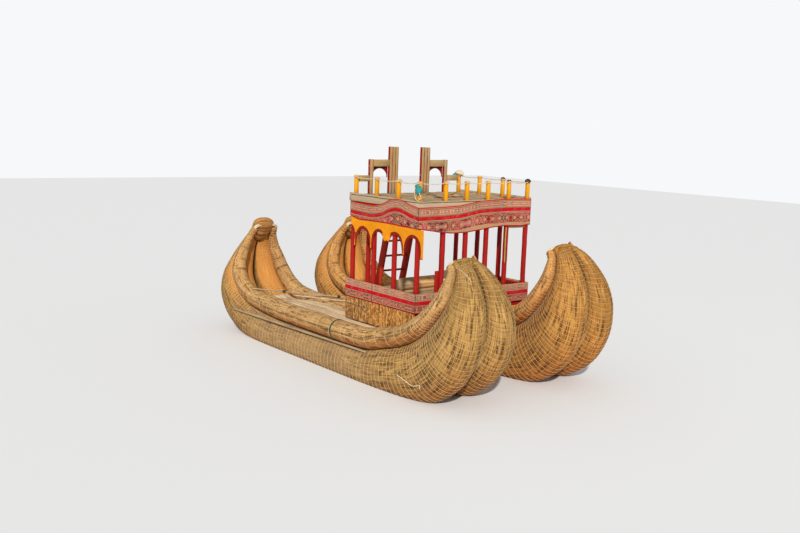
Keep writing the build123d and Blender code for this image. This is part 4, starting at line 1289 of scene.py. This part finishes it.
def make_rails():
    """Rails from post to post, behind the lower cloth."""
    heights = (PARAPET_RAIL_Z, PARAPET_RAIL_Z + PARAPET_RAIL)
    sides = [(x0 + POST / 2, x1 - POST / 2, y - THIN_RAIL_HALF, y + THIN_RAIL_HALF, *heights)
             for y, xs in ((-POST_LINE, STARBOARD_POST_X), (POST_LINE, PORT_POST_X + (BOW_LINE,)))
             for x0, x1 in zip(xs, xs[1:])]
    ys = (-POST_LINE,) + BOW_POST_Y + (POST_LINE,)
    bow = [(BOW_LINE - THIN_RAIL_HALF, BOW_LINE + THIN_RAIL_HALF, y0 + POST / 2, y1 - POST / 2, *heights)
           for y0, y1 in zip(ys, ys[1:])]
    make_boxes("rails_under_band", sides + bow, "x" * len(sides) + "y" * len(bow), RED_PAINT,
               ("parapet_rails",), 12)


def mat_height(x):
    """Height above water of the starboard deck mat at x."""
    where = np.linspace(0, STARBOARD.length, 1500)
    middle, up, sizes = STARBOARD.sections(where)
    crest = middle + (sizes[:, 0:1] + sizes[:, 5:6]) * up
    deck = sizes[:, 5] > MAT_LEAST
    return float(np.interp(x, crest[deck, 0], crest[deck, 2])) - DRAFT


def make_upper_deck():
    """Edge boards, ceiling boards and a pale reed mat on top."""
    x0, x1, y1, thick = DECK_STERN, DECK_BOW, DECK_HALF, DECK_BOARD_T
    top = DECK_TOP - DECK_MAT_ABOVE
    mat_low = top - DECK_MAT_T
    edges = beam_ring(x0, x1, y1, thick, DECK_Z, top)
    make_boxes("deck_edge_boards", edges, "xxyy", PALE_WOOD, (), 13, 0.003)
    under = board_row(x0 + thick, x1 - thick, -y1 + thick, y1 - thick, DECK_Z, mat_low, 0.145, 0.004, "x")
    make_boxes("deck_boards", under, "y", PALE_WOOD, ("upper_deck",), 14, 0.003)
    strips = board_row(x0 + 0.02, x1 - 0.02, -y1 + 0.02, y1 - 0.02, mat_low, DECK_TOP, 0.055, 0.002)
    make_boxes("deck_reed_mat", strips, "x", DECK_MAT, (), 15, 0.010, 0.003)


def gate_pair(y0, y1, low, high):
    """Boxes in the gate from y0 to y1, to starboard and to port."""
    return [(STERN, STERN + GATE_T, *sorted((s * y0, s * y1)), low, high) for s in (-1, 1)]


def make_gate():
    """Stepped gate: tall posts of three boards, step posts, beams, arched boards."""
    board = TALL_POST_W / 3
    half = TALL_POST_W / 6 - 0.003
    tall = [(STERN, STERN + GATE_T, s * TALL_POST_Y + i * board - half, s * TALL_POST_Y + i * board + half,
             DECK_TOP, TALL_POST_TOP - 0.002 * (i + 2)) for s in (-1, 1) for i in (-1, 0, 1)]
    make_boxes("tall_gate_posts", tall, "z", GATE_WOOD, ("gate_tall_posts",), 16, 0.004)
    tall_edge = TALL_POST_Y + TALL_POST_W / 2
    step_inner, step_outer = STEP_POST_Y - STEP_POST_W / 2, STEP_POST_Y + STEP_POST_W / 2
    step = gate_pair(step_inner, step_outer, DECK_TOP, STEP_POST_TOP)
    make_boxes("step_gate_posts", step, "z", GATE_WOOD, ("gate_step_posts",), 17)
    mids = gate_pair(tall_edge, step_inner, *MID_BEAM_Z)
    make_boxes("mid_gate_beams", mids, "y", GATE_WOOD, ("gate_mid_beams",), 18)
    lows = gate_pair(step_outer, HALF - POST, *LOW_BEAM_Z)
    make_boxes("low_gate_beams", lows, "y", GATE_WOOD, ("gate_low_beams",), 19)
    middle, half = (tall_edge + step_inner) / 2, (step_inner - tall_edge) / 2
    turn = np.linspace(0, math.pi, 33)
    ys = np.concatenate([[middle - half], middle - (half - GATE_ARCH_EDGE) * np.cos(turn), [middle + half]])
    low = np.concatenate([[0.0], GATE_ARCH_RISE * np.sin(turn), [0.0]])
    zs = MID_BEAM_Z[0] - GATE_ARCH_DROP + low
    shell = Shell(DRAFT)
    for s in (-1, 1):
        add_panel(shell, [(0.0, s * y) for y in ys], zs, np.full(len(ys), MID_BEAM_Z[0]),
                  STERN - GATE_ARCH_T, (1, 0), GATE_ARCH_T)
    piece("gate_arch_boards", shell, ARCH_RED, ("gate_arches",), smooth=False)


def add_panel(shell, feet, low, top, front, outward, thick):
    """Upright board between two edges: front and back, joined all round. UV: place
    along the board and distance from its lower edge."""
    feet = np.asarray(feet, float)
    low, top = np.asarray(low, float), np.asarray(top, float)
    rows = 12
    share = np.linspace(0, 1, rows) ** 1.6
    z = low[None] + share[:, None] * (top - low)[None]
    along = feet[:, 0] if abs(outward[1]) > 0 else feet[:, 1]
    faces = []
    for stand in (front, front + thick):
        x = np.full_like(z, stand) if abs(outward[0]) > 0 else np.broadcast_to(feet[:, 0], z.shape)
        y = np.full_like(z, stand) if abs(outward[1]) > 0 else np.broadcast_to(feet[:, 1], z.shape)
        faces.append(np.stack([x, y, z], axis=-1))
    grid = np.concatenate([faces[0], faces[1][::-1]])
    edge = np.stack([np.abs(along), low], axis=1)
    edge = np.concatenate([edge[:-1] + f * (edge[1:] - edge[:-1]) for f in (0.0, 0.33, 0.66)])
    place = np.stack([np.broadcast_to(np.abs(along), z.shape), z], axis=-1)
    gap = np.linalg.norm(place[:, :, None] - edge[None, None], axis=-1).min(axis=2)
    gap = np.concatenate([gap, gap[::-1], gap[:1]])
    uv = np.stack([np.broadcast_to(along, gap.shape), gap], axis=-1)
    shell.add(grid[None], uv[None], wrap_rows=True)
    for column in (0, -1):
        ring = grid[:, column]
        strip = np.stack([ring[:rows], ring[rows:][::-1]], axis=1)
        shell.add(strip, np.zeros((rows, 2, 2)) + 0.5)


def plywood_material(name, paint, rim, split=0.0):
    """Painted plywood with a dark painted rim along its cut edge."""
    n = Nodes(name)
    uv = n.coord("UV")
    place = n.coord("Object")
    u, v, _ = n.split(uv)
    waver = n.noise(place, 9.0, 3.0, 0.6)
    grain = n.noise(n.scaled(place, (2.0, 2.0, 22.0)), 1.0, 4.0, 0.6)
    cloud = n.noise(place, 3.5, 4.0, 0.6)
    chips = n.noise(place, 22.0, 4.0, 0.7)
    color = n.mix(n.remap(cloud, 0.35, 0.7, 0.0, 0.6), paint, faded(paint, 0.66))
    color = n.layers(color, (
        (grain, 0.52, 0.75, 0.0, 0.4, faded(paint, 1.35)),
        (chips, 0.62, 0.68, 0.0, 0.7, (0.45, 0.32, 0.18)),
    ))
    edge = n.plus(v, n.times(n.minus(waver, 0.5), 0.020))
    height = n.split(place)[2]
    rim_width = n.remap(height, ARCH_FOOT + DRAFT, ARCH_FOOT + DRAFT + 0.30, ARCH_RIM_LEAST, ARCH_RIM)
    worn = n.times(n.math("LESS_THAN", edge, rim_width), n.remap(chips, 0.30, 0.36))
    far_from_break = n.math("ABSOLUTE", n.minus(u, BROKEN_CUSP))
    whole = n.remap(far_from_break, BROKEN_HALF - 0.02, BROKEN_HALF + 0.02)
    color = n.mix(n.times(worn, n.math("MAXIMUM", whole, split)), color,
                  n.mix(n.remap(cloud, 0.4, 0.7), rim, faded(rim, 0.6)))
    return n.finish(color, n.remap(cloud, 0.3, 0.7, 0.5, 0.75), n.bump(grain, 0.3, 0.002))


ARCH_PLY = plywood_material("arch_plywood", (0.84, 0.30, 0.004), (0.30, 0.012, 0.006))
ARCH_RED = plywood_material("arch_red", (0.40, 0.014, 0.010), (0.24, 0.010, 0.008), 1.0)


def arch_outline():
    """Places and heights along the arched lower edge of the plywood panel."""
    xs, zs = [], []
    for x0, x1 in zip(ARCH_X, ARCH_X[1:]):
        middle, half = (x0 + x1) / 2, (x1 - x0 - PENDANT) / 2
        turn = np.linspace(0, math.pi, 41)
        xs += list(middle - half * np.sign(np.cos(turn)) * np.abs(np.cos(turn)) ** (2 / ARCH_POWER)) + [x1]
        zs += list(ARCH_FOOT + ARCH_RISE * np.abs(np.sin(turn)) ** (2 / ARCH_POWER)) + [ARCH_FOOT]
    xs, zs = np.array(xs + [ARCH_X[-1] + PENDANT / 2]), np.array(zs + [ARCH_FOOT])
    near = np.abs(xs - BROKEN_CUSP) < BROKEN_HALF
    ragged = 0.012 * np.sin(xs * 190.0) + 0.008 * np.sin(xs * 410.0)
    zs[near] = np.maximum(zs[near], BROKEN_CUSP_Z + ragged[near])
    keep = xs >= ARCH_PANEL_STERN
    return xs[keep], zs[keep]


def make_arch_panel():
    """Plywood panel with arches on the starboard side."""
    xs, zs = arch_outline()
    first = np.interp(ARCH_PANEL_STERN, xs, zs)
    xs, zs = np.append(ARCH_PANEL_STERN, xs), np.append(first, zs)
    top = np.where(xs > DECK_BOW - BAND_T, ARCH_PANEL_BOW_TOP, ARCH_PANEL_TOP)
    shell = Shell(DRAFT)
    add_panel(shell, [(x, 0.0) for x in xs], zs, top, -HALF - ARCH_PANEL_T, (0, 1), ARCH_PANEL_T)
    piece("arched_plywood", shell, ARCH_PLY, ("arch_panel",), smooth=False)


# Reed skirts.

def make_thatch(name, node, fixed, low, high, bottom, axis, outward, seed):
    """Upright reeds in layers over a face of the parapet, with a backing behind them."""
    random = np.random.default_rng(seed)
    shell = Shell(DRAFT)
    first, last = low + REED_MARGIN, high - REED_MARGIN
    share = np.array([0.0, 0.3, 0.65, 1.0])
    grids, uvs = [], []
    for layer in range(REED_LAYERS):
        count = int((high - low) / REED_PITCH)
        places = np.linspace(first, last, count) + random.uniform(-0.003, 0.003, count)
        for place in np.clip(places, first, last):
            stand = outward * (THATCH_T * (0.2 + 0.3 * layer) + random.uniform(-0.004, 0.004))
            foot = bottom(place) + random.uniform(0.0, 0.020)
            head = SKIRT_TOP - random.uniform(0.0, 0.006)
            lean, bow_out = random.normal(0, REED_LEAN), random.uniform(-0.005, 0.006)
            size = random.uniform(0.0040, 0.0080)
            line = np.zeros((4, 3))
            line[:, axis] = np.clip(place + lean * (1 - share), low + 0.001, high - 0.001)
            line[:, 1 - axis] = fixed + stand + bow_out * np.sin(math.pi * share) * outward
            line[:, 2] = foot + share * (head - foot)
            turn = random.uniform(0, 6.28) + np.array([0, 2.094, 4.189])
            ring = np.zeros((3, 3))
            ring[:, axis], ring[:, 1 - axis] = np.cos(turn), np.sin(turn)
            grids.append(line[:, None] + size * ring[None])
            u = 10 * len(grids) + np.array([0.1, 0.4, 0.7, 0.9])
            uvs.append(uv_grid(u, share * (head - foot)))
    shell.add(np.array(grids), np.array(uvs), wrap_columns=True)
    across = np.linspace(low, high, REED_BACK_COLUMNS)
    feet = np.array([bottom(a) + REED_BACK_GAP for a in across])
    for stand in (0.0, REED_BACK * THATCH_T * outward):
        rows = []
        for part in (0.0, 0.5, 1.0):
            row = np.zeros((REED_BACK_COLUMNS, 3))
            row[:, axis], row[:, 1 - axis] = across, fixed + stand
            row[:, 2] = feet + part * (SKIRT_TOP - REED_BACK_GAP - feet)
            rows.append(row)
        shell.add(np.array(rows), uv_grid(across * 40, (0.0, 0.2, 0.4)))
    piece(name, shell, THATCH, (node,), smooth=False)


def skirt_bottom(x):
    """Lower edge of a side skirt, just clear of the deck mat."""
    return max(mat_height(x - 0.10), mat_height(x + 0.10)) + 0.010


def make_skirts():
    """Reed skirts to starboard, port and bow, with a dark lath across one panel."""
    places = np.linspace(SKIRT_STERN, BOW, 24)
    heights = np.array([skirt_bottom(x) for x in places])

    def side_bottom(x):
        """Lower edge at x, from a few places."""
        return float(np.interp(x, places, heights))

    def bow_bottom(_):
        """Level lower edge of the bow skirt."""
        return BOW_SKIRT_LOW

    make_thatch("starboard_skirt", "thatch_starboard", -HALF, SKIRT_STERN, BOW, side_bottom, 0, -1, 31)
    make_thatch("port_skirt", "thatch_port", HALF, SKIRT_STERN, BOW, side_bottom, 0, 1, 32)
    make_thatch("bow_skirt", "thatch_bow", BOW, -HALF - THATCH_T, HALF, bow_bottom, 1, 1, 33)
    make_boxes("skirt_lath", [SKIRT_LATH], "x", DARK_WOOD, (), 34, 0.002)


# Cloth bands.

def make_band(name, node, line, top, low, outward, material, rows, sway, seed):
    """Cloth band: a thin sheet with soft folds. line gives x, y for a place along it."""
    random = np.random.default_rng(seed)
    places = np.arange(top[0][0], top[-1][0], 0.02)
    places = np.append(places, top[-1][0])
    upper = np.interp(places, [p for p, z in top], [z for p, z in top])
    lower = np.interp(places, [p for p, z in low], [z for p, z in low])
    kernel = np.hanning(9) / np.hanning(9).sum()
    for edge in (upper, lower):
        edge[4:-4] = np.convolve(edge, kernel, "valid")
    upper[1:-1] += random.normal(0, 0.0015, len(places) - 2)
    share = np.concatenate([np.linspace(0, 1, rows)[:-1], [1.0, 1.0, 1.0]])
    drop = (upper - lower)[None] * share[:, None]
    drop[-3] -= HEM
    drop[-2] -= HEM - 0.0006
    wave = sum(random.uniform(0.3, 1.0) * np.sin(places * f + random.uniform(0, 6.28) + share[:, None] * g)
               for f, g in ((4.1, 1.0), (9.7, -1.6), (21.0, 0.8)))
    wave = sway * wave / 3 * np.sqrt(share)[:, None]
    faces = []
    for side in (1, -1):
        x, y = line(places, outward * (wave + side * 0.0018))
        z = np.broadcast_to(upper[None] - drop, wave.shape)
        faces.append(np.stack([np.broadcast_to(x, wave.shape), np.broadcast_to(y, wave.shape), z], axis=-1))
    grid = np.concatenate([faces[0], faces[1][::-1]]).transpose(1, 0, 2)
    cloth_v = drop.copy()
    cloth_v[-2:] = HEM_V
    uv = np.stack([np.broadcast_to(places, drop.shape), cloth_v], axis=-1)
    uv = np.concatenate([uv, uv[::-1], uv[:1]]).transpose(1, 0, 2)
    shell = Shell(DRAFT)
    shell.add(grid, uv, wrap_columns=True, caps=True)
    return piece(name, shell, material, (node,))


def along_side(fixed):
    """Band line at a fixed y: x along it."""
    return lambda places, out: (places, fixed + out)


def along_bow(fixed):
    """Band line at a fixed x: y along it."""
    return lambda places, out: (fixed + out, places)


def make_bands():
    """Cloth round three sides of the parapet and of the upper deck."""
    y, x = DECK_HALF + BAND_T / 2, DECK_BOW + BAND_T / 2
    for word, fixed, out in (("starboard", -y, -1), ("port", y, 1)):
        band = make_band(f"{word}_upper_cloth", f"upper_band_{word}", along_side(fixed), UPPER_BAND_SIDE,
                         UPPER_BAND_SIDE_LOW, out, UPPER_BAND_CLOTH, 14, 0.006, 41)
    band = make_band("bow_upper_cloth", "upper_band_bow", along_bow(x), UPPER_BAND_BOW, UPPER_BAND_BOW_LOW,
                     1, UPPER_BAND_CLOTH, 14, 0.006, 42)
    y, x = HALF + THATCH_T + BAND_T / 2, BOW + THATCH_T + BAND_T / 2
    low, high = LOWER_BAND
    for word, fixed, out in (("starboard", -y, -1), ("port", y, 1)):
        ends = (LOWER_BAND_STERN, BOW + THATCH_T)
        band = make_band(f"{word}_lower_cloth", f"lower_band_{word}", along_side(fixed),
                         [(p, high) for p in ends], [(p, low) for p in ends], out, LOWER_BAND_CLOTH,
                         12, 0.004, 43)
    ends = (-y, y)
    band = make_band("bow_lower_cloth", "lower_band_bow", along_bow(x), [(p, high) for p in ends],
                     [(p, low) for p in ends], 1, LOWER_BAND_CLOTH, 12, 0.004, 44)


# Ladder, bench, shelf, poles.

LADDER_GAPS = (0.02, 0.05)
BENCH_PARTS, BENCH_SINK, BENCH_CORD_SINK, BENCH_CORD_R = 6, 0.003, 0.007, 0.005


def make_ladder():
    """Two stringers and five rungs."""
    foot = np.array([LADDER_FOOT[0], 0.0, LADDER_FOOT[1]])
    run = np.array([LADDER_TOP[0], 0.0, LADDER_TOP[1]]) - foot
    length = np.linalg.norm(run)
    line = run / length
    toward = np.cross((0, 1, 0), line)
    shell = Shell(DRAFT)
    for i, s in enumerate((-1, 1)):
        side = np.array([0.0, s * LADDER_Y, 0.0])
        start, end = LADDER_GAPS[0] * line, (length - LADDER_GAPS[1]) * line
        add_beam(shell, foot + side + start, foot + side + end, STRINGER[1], STRINGER[0], toward, 160 + i)
    piece("ladder_sides", shell, BRIGHT_RED, ("ladder_stringers",), smooth=False)
    shell = Shell(DRAFT)
    for i in range(RUNGS):
        z = RUNG_Z + i * RUNG_RISE
        x = LADDER_FOOT[0] + run[0] * (z - LADDER_FOOT[1]) / run[2]
        half = LADDER_Y - STRINGER[1] / 2
        add_beam(shell, (x, -half, z), (x, half, z), RUNG[0], RUNG[1], line, 170 + i)
    piece("ladder_steps", shell, BRIGHT_RED, ("ladder_rungs",), smooth=False)


def make_bench():
    """Reed roll on a board in the cabin, bound with cord."""
    low = FLOOR_TOP + BENCH_BOARD[1]
    half = BENCH_BOARD[0] / 2
    board = [(BENCH_X - half, BENCH_X + half, *BENCH_Y, FLOOR_TOP, low)]
    make_boxes("bench_plank", board, "y", RAW_WOOD, ("bench_board",), 20)
    centre_z, long = low + BENCH_R, BENCH_Y[1] - BENCH_Y[0]
    share = np.linspace(0, 1, 81)
    bite = np.abs(np.sin(math.pi * BENCH_PARTS * share)) ** 0.25
    size = (BENCH_R - BENCH_SINK) * (0.955 + 0.045 * bite)
    size[[0, -1]] *= 0.86
    flat = np.zeros(len(share))
    path = np.stack([flat + BENCH_X, BENCH_Y[0] + share * long, flat + centre_z], axis=1)
    shell = Shell(DRAFT)
    add_tube(shell, path, size, 28)
    piece("bench_reeds", shell, BENCH, ("bench_roll",))
    shell = Shell(DRAFT)
    turns, radius = full_turn(30), BENCH_R - BENCH_CORD_SINK
    for i in range(1, BENCH_PARTS):
        y = np.full(len(turns), BENCH_Y[0] + long * i / BENCH_PARTS)
        ring = np.stack([BENCH_X + radius * np.cos(turns), y, centre_z + radius * np.sin(turns)], axis=1)
        add_tube(shell, ring, BENCH_CORD_R, 5, (0, 1, 0), closed=True)
    piece("bench_cords", shell, CORD)


def make_shelf():
    """Shelf at the cabin's bow end and the orange board beside it."""
    upright = [(*SHELF_X, SHELF_Y[0], SHELF_Y[1], FLOOR_TOP, SHELF_Z[1])]
    make_boxes("shelf_side", upright, "z", RED_PAINT, ("shelf_upright",), 21)
    plank = [(*SHELF_X, SHELF_Y[1], SHELF_Y[2], *SHELF_Z)]
    make_boxes("shelf_plank", plank, "y", DARK_WOOD, ("shelf_board",), 22)
    make_boxes("orange_plank", [SIDE_BOARD], "z", ORANGE_BOARD, ("side_board",), 23)


def make_poles():
    """Two loose poles on the starboard hull."""
    for name, node, (start, end, radius) in (("long_pole", "side_pole", SIDE_POLE),
                                             ("short_pole", "deck_pole", DECK_POLE)):
        ends = [(x, y + STARBOARD_Y, z) for x, y, z in (start, end)]
        make_round(name, [(*ends, radius)], POLE_WOOD, (node,), 12, 0.08)


# Ropes, ties, scraps and seams. A place is (x, y, height above water), or the first
# two measured from the corner or post that it hangs on.

RAIL_ROPE_Z, RAIL_ROPE_R, RAIL_ROPE_SAG = 3.975, 0.008, 0.022
RAIL_KNOT_R, RAIL_KNOT_LIFT, RAIL_KNOT_STAND, RAIL_KNOT_BULGE = 0.006, 0.011, 0.005, 1.1
LUMP_ROWS, LUMP_COLUMNS, LUMP_ROUGH = 14, 20, 0.12
KERB_W, KERB_END_GAP, KERB_STARBOARD, KERB_PORT, KERB_BOW = 0.035, 0.04, 0.035, 0.055, 0.020
SCRAPS, SCRAP_X, SCRAP_Y, SCRAP_LONG, SCRAP_R = 26, (0.75, 1.75), (-0.25, 0.65), (0.12, 0.30), 0.011
SCRAP_Z, SCRAP_TILT, SCRAP_BEND = (0.012, 0.05), (-0.006, 0.03), 0.015
CLOTHS, CLOTH_X, CLOTH_Y, CLOTH_Z = 7, (0.8, 1.6), (-0.2, 0.5), 0.025
CLOTH_LONG, CLOTH_WIDE, CLOTH_HIGH = (0.07, 0.15), (0.06, 0.12), 0.035
TEAL_CORNER = (BOW_LINE + 0.03, -POST_LINE - 0.05)
TEAL_LUMPS = (((0.0, 0.0, 3.845), (0.075, 0.065, 0.085)), ((-0.06, 0.0, 3.920), (0.040, 0.040, 0.030)))
TEAL_CORDS = (((0.0, 0.0, 3.93), (0.05, -0.03, 3.80), (0.06, 0.0, 3.70), (-0.03, -0.02, 3.64)),
              ((-0.08, 0.0, 3.96), (-0.09, -0.03, 3.80), (-0.02, -0.04, 3.66)))
TEAL_CORD_R = 0.008
CREAM_POST = (PORT_RAIL_X[0], POST_LINE)
CREAM_LUMPS = (((0.0, 0.0, 4.035), (0.105, 0.085, 0.055)), ((0.08, 0.0, 4.015), (0.06, 0.05, 0.04)))
TEAL_KNOT = (((-0.02, -0.11, 3.99), (0.045, 0.045, 0.04)),)
DARK_KNOTS = (((BOW_LINE, POST_LINE, 3.985), (0.062, 0.062, 0.050)),
              ((PORT_RAIL_X[2], POST_LINE, 4.000), (0.046, 0.046, 0.026)),
              ((BOW_LINE, BOW_RAIL_Y[3], 4.000), (0.044, 0.044, 0.022)))
GREEN_POST, GREEN_R = (BOW_LINE + POST / 2 + 0.012, BOW_POST_Y[3]), 0.009
GREEN_LINE = ((0.0, -0.05, 3.06), (0.0, -0.055, 2.70), (0.0, -0.045, 2.32))
BAND_SEAM_X, BAND_SEAM_R, BAND_SEAM_SINK = 1.16, 0.006, 0.002
UPPER_SEAM_Z, LOWER_SEAM_Z = (3.515, 3.32, 3.115), (1.868, 1.68, 1.492)
GREEN_TIE_X, GREEN_TIE_R, GREEN_TIE_SINK = 0.52, 0.007, 0.002
# Distance back from the bow tip along the hull and angle round the bundle.
LOOSE_CORD = ((2.95, 1.55), (2.75, 1.75), (2.60, 1.95), (2.42, 2.02), (2.46, 2.12))
TIP_CORD = ((0.05, 1.25), (0.13, 1.85), (0.24, 2.40), (0.38, 2.85))
LOOSE_CORD_R, LOOSE_CORD_STAND, TIP_CORD_R, TIP_CORD_STAND = 0.009, 0.008, 0.0055, 0.006
POLE_KNOTS, POLE_KNOT_SIZE = (0.34, 0.93), (0.045, 0.040, 0.032)
DECK_LINE, DECK_LINE_R = ((-1.95, -1.42, 1.105), (-1.40, -1.05, 1.095), (-0.85, -0.70, 1.090)), 0.009


def make_rail_rope():
    """Rope tied from post to post round three sides of the upper deck."""
    out = RAIL_POST / 2 + RAIL_ROPE_R
    side, bow = -POST_LINE - out, BOW_LINE + out
    ties = [(x, side) for x in STARBOARD_RAIL_X] + [(bow, y) for y in BOW_RAIL_Y]
    ties += [(bow, POST_LINE)] + [(x, -side) for x in reversed(PORT_RAIL_X)]
    shell = Shell(DRAFT)
    share = np.linspace(0, 1, 15)
    sag = RAIL_ROPE_SAG * 4 * share * (1 - share)
    for i, ((x0, y0), (x1, y1)) in enumerate(zip(ties, ties[1:])):
        path = np.stack([x0 + share * (x1 - x0), y0 + share * (y1 - y0), RAIL_ROPE_Z - sag], axis=1)
        add_tube(shell, path, RAIL_ROPE_R, 7, tone=float(i))
    corner, bulge = RAIL_POST / 2 + RAIL_KNOT_STAND, RAIL_KNOT_BULGE
    square = corner * np.array([(-1, -1), (0, -bulge), (1, -1), (bulge, 0),
                                (1, 1), (0, bulge), (-1, 1), (-bulge, 0)])
    for x, y in post_centres(STARBOARD_RAIL_X, BOW_RAIL_Y, PORT_RAIL_X):
        for lift in (-RAIL_KNOT_LIFT, RAIL_KNOT_LIFT):
            ring = np.column_stack([square + (x, y), np.full(len(square), RAIL_ROPE_Z + lift)])
            add_tube(shell, ring, RAIL_KNOT_R, 6, closed=True)
    piece("rail_rope", shell, ROPE)


def add_lump(shell, centre, sizes, seed):
    """Uneven rounded lump, such as a knot or a rolled cloth."""
    random = np.random.default_rng(seed)
    rows, columns = LUMP_ROWS, LUMP_COLUMNS
    polar = np.linspace(0.05, math.pi - 0.05, rows)[:, None]
    turns = full_turn(columns)
    size = 1 + LUMP_ROUGH * (np.sin(3 * turns + random.uniform(0, 6))[None] * np.sin(4 * polar)
                             + random.uniform(-0.6, 0.6, (rows, columns)))
    ball = np.stack([np.sin(polar) * np.cos(turns), np.sin(polar) * np.sin(turns),
                     np.broadcast_to(np.cos(polar), (rows, columns))], axis=-1)
    grid = np.asarray(centre) + ball * size[..., None] * np.asarray(sizes)
    shell.add(grid, uv_grid(np.linspace(0, 0.3, columns + 1), np.linspace(0, 0.2, rows)),
              wrap_columns=True, caps=True)


def make_lumps(name, lumps, material, corner=(0.0, 0.0)):
    """Several lumps, (place from a corner, sizes) each, as one piece."""
    shell = Shell(DRAFT)
    for i, ((x, y, z), sizes) in enumerate(lumps):
        add_lump(shell, (corner[0] + x, corner[1] + y, z), sizes, 300 + i)
    piece(name, shell, material)


def make_lines(name, paths, radius, material, lift=DRAFT, corner=(0.0, 0.0)):
    """Thin tied lines, through a few places from a corner each, as one piece."""
    shell = Shell(lift)
    for i, places in enumerate(paths):
        points = [(corner[0] + x, corner[1] + y, z) for x, y, z in places]
        add_tube(shell, smooth_path(points), radius, 7, (0.3, 0.2, 1.0), tone=float(i))
    piece(name, shell, material)


def make_kerbs():
    """Boards along three edges of the upper deck."""
    x0, x1, y1 = DECK_STERN, DECK_BOW, DECK_HALF
    kerbs = [(x0, x1, -y1, -y1 + KERB_W, DECK_TOP, DECK_TOP + KERB_STARBOARD),
             (x0, x1, y1 - KERB_W, y1, DECK_TOP, DECK_TOP + KERB_PORT),
             (x1 - KERB_W, x1, -y1 + KERB_END_GAP, y1 - KERB_END_GAP, DECK_TOP, DECK_TOP + KERB_BOW)]
    make_boxes("deck_kerbs", kerbs, "xxy", PALE_WOOD, (), 24, 0.004, 0.002)


def make_scraps():
    """Scraps of reed and cloth on the upper deck."""
    random = np.random.default_rng(77)
    paths, cloths = [], []
    for _ in range(SCRAPS):
        x, y = random.uniform(*SCRAP_X), random.uniform(*SCRAP_Y)
        turn, long = random.uniform(0, 6.28), random.uniform(*SCRAP_LONG)
        start = np.array([x, y, DECK_TOP + random.uniform(*SCRAP_Z)])
        across = np.array([math.cos(turn) * long, math.sin(turn) * long, random.uniform(*SCRAP_TILT)])
        paths.append([start - across / 2, start + (0, 0, SCRAP_BEND), start + across / 2])
    for _ in range(CLOTHS):
        centre = (random.uniform(*CLOTH_X), random.uniform(*CLOTH_Y), DECK_TOP + CLOTH_Z)
        cloths.append((centre, (random.uniform(*CLOTH_LONG), random.uniform(*CLOTH_WIDE), CLOTH_HIGH)))
    make_lines("deck_reed_scraps", paths, SCRAP_R, BENCH)
    make_lumps("deck_cloths", cloths, SCRAP)


def make_post_ties():
    """Bundle, knots and lines tied to posts."""
    make_lumps("teal_bundle", TEAL_LUMPS, TEAL, TEAL_CORNER)
    make_lines("teal_bundle_cord", TEAL_CORDS, TEAL_CORD_R, ROPE, corner=TEAL_CORNER)
    make_lumps("cream_knob", CREAM_LUMPS, ROPE, CREAM_POST)
    make_lumps("teal_knot", TEAL_KNOT, TEAL, CREAM_POST)
    make_lumps("dark_knots", DARK_KNOTS, BLACK)
    make_lines("green_line", [GREEN_LINE], GREEN_R, GREEN, corner=GREEN_POST)


def make_seams():
    """Dark seams where the cloth bands meet at the corner and are joined."""
    sink = BAND_SEAM_SINK
    x, y = DECK_BOW + BAND_T - sink, -DECK_HALF - BAND_T + sink
    lower_x, lower_y = BOW + THATCH_T + BAND_T - sink, -HALF - THATCH_T - BAND_T
    paths = [[(x, y, z) for z in UPPER_SEAM_Z],
             [(lower_x, lower_y + sink, z) for z in LOWER_SEAM_Z],
             [(BAND_SEAM_X, lower_y + sink / 2, z) for z in LOWER_SEAM_Z]]
    make_lines("band_seams", paths, BAND_SEAM_R, BLACK)


def make_hull_lines():
    """Ties on the starboard hull: green tie, loose cord end, knots on a pole, deck line."""
    centre, level, over, radius = roll_line(STARBOARD, np.linspace(0, STARBOARD.length, 800))
    nearest = int(np.argmin(np.abs(centre[:, 0] - GREEN_TIE_X)))
    turns = full_turn(40)
    shell = Shell()
    for k in range(nearest, nearest + 3):
        ring = centre[k] + (radius[k] - GREEN_TIE_SINK) * round_about(turns, level[k], over[k])
        add_tube(shell, mirrored(ring, STARBOARD, -1), GREEN_TIE_R, 6, (1.0, 0.0, 0.0), closed=True)
    piece("green_tie", shell, DARK_GREEN)
    loop = [surface_point(STARBOARD, back, angle, LOOSE_CORD_STAND) for back, angle in LOOSE_CORD]
    make_lines("loose_cord", [loop], LOOSE_CORD_R, ROPE, 0.0)
    line = [surface_point(STARBOARD, back, angle, TIP_CORD_STAND) for back, angle in TIP_CORD]
    make_lines("tip_cord", [line], TIP_CORD_R, ROPE, 0.0)
    start, end = [np.array(place) + (0, STARBOARD_Y, 0) for place in DECK_POLE[:2]]
    make_lumps("pole_knots", [(start + f * (end - start), POLE_KNOT_SIZE) for f in POLE_KNOTS], BLACK)
    make_lines("deck_line", [DECK_LINE], DECK_LINE_R, ROPE)


DARK_GREEN = cord_material("green_tie", (0.05, 0.11, 0.06), (0.02, 0.04, 0.03))
# Painted sunlight: the bench's pale reeds are made brighter still, though the upper deck shades them, with
# less painted underside shade.
BENCH = reed_material("bench_reed", (0.92, 0.74, 0.48), (0.88, 0.63, 0.36), (0.52, 0.30, 0.13), 90.0, -0.5)
POLE_WOOD = bare_wood("pole_wood", (0.44, 0.32, 0.18), (0.22, 0.14, 0.07))

make_logs()
make_floor()
make_posts()
make_deck_frame()
make_rails()
make_upper_deck()
make_gate()
make_arch_panel()
make_skirts()
make_bands()
make_ladder()
make_bench()
make_shelf()
make_poles()
make_rail_rope()
make_kerbs()
make_scraps()
make_post_ties()
make_seams()
make_hull_lines()
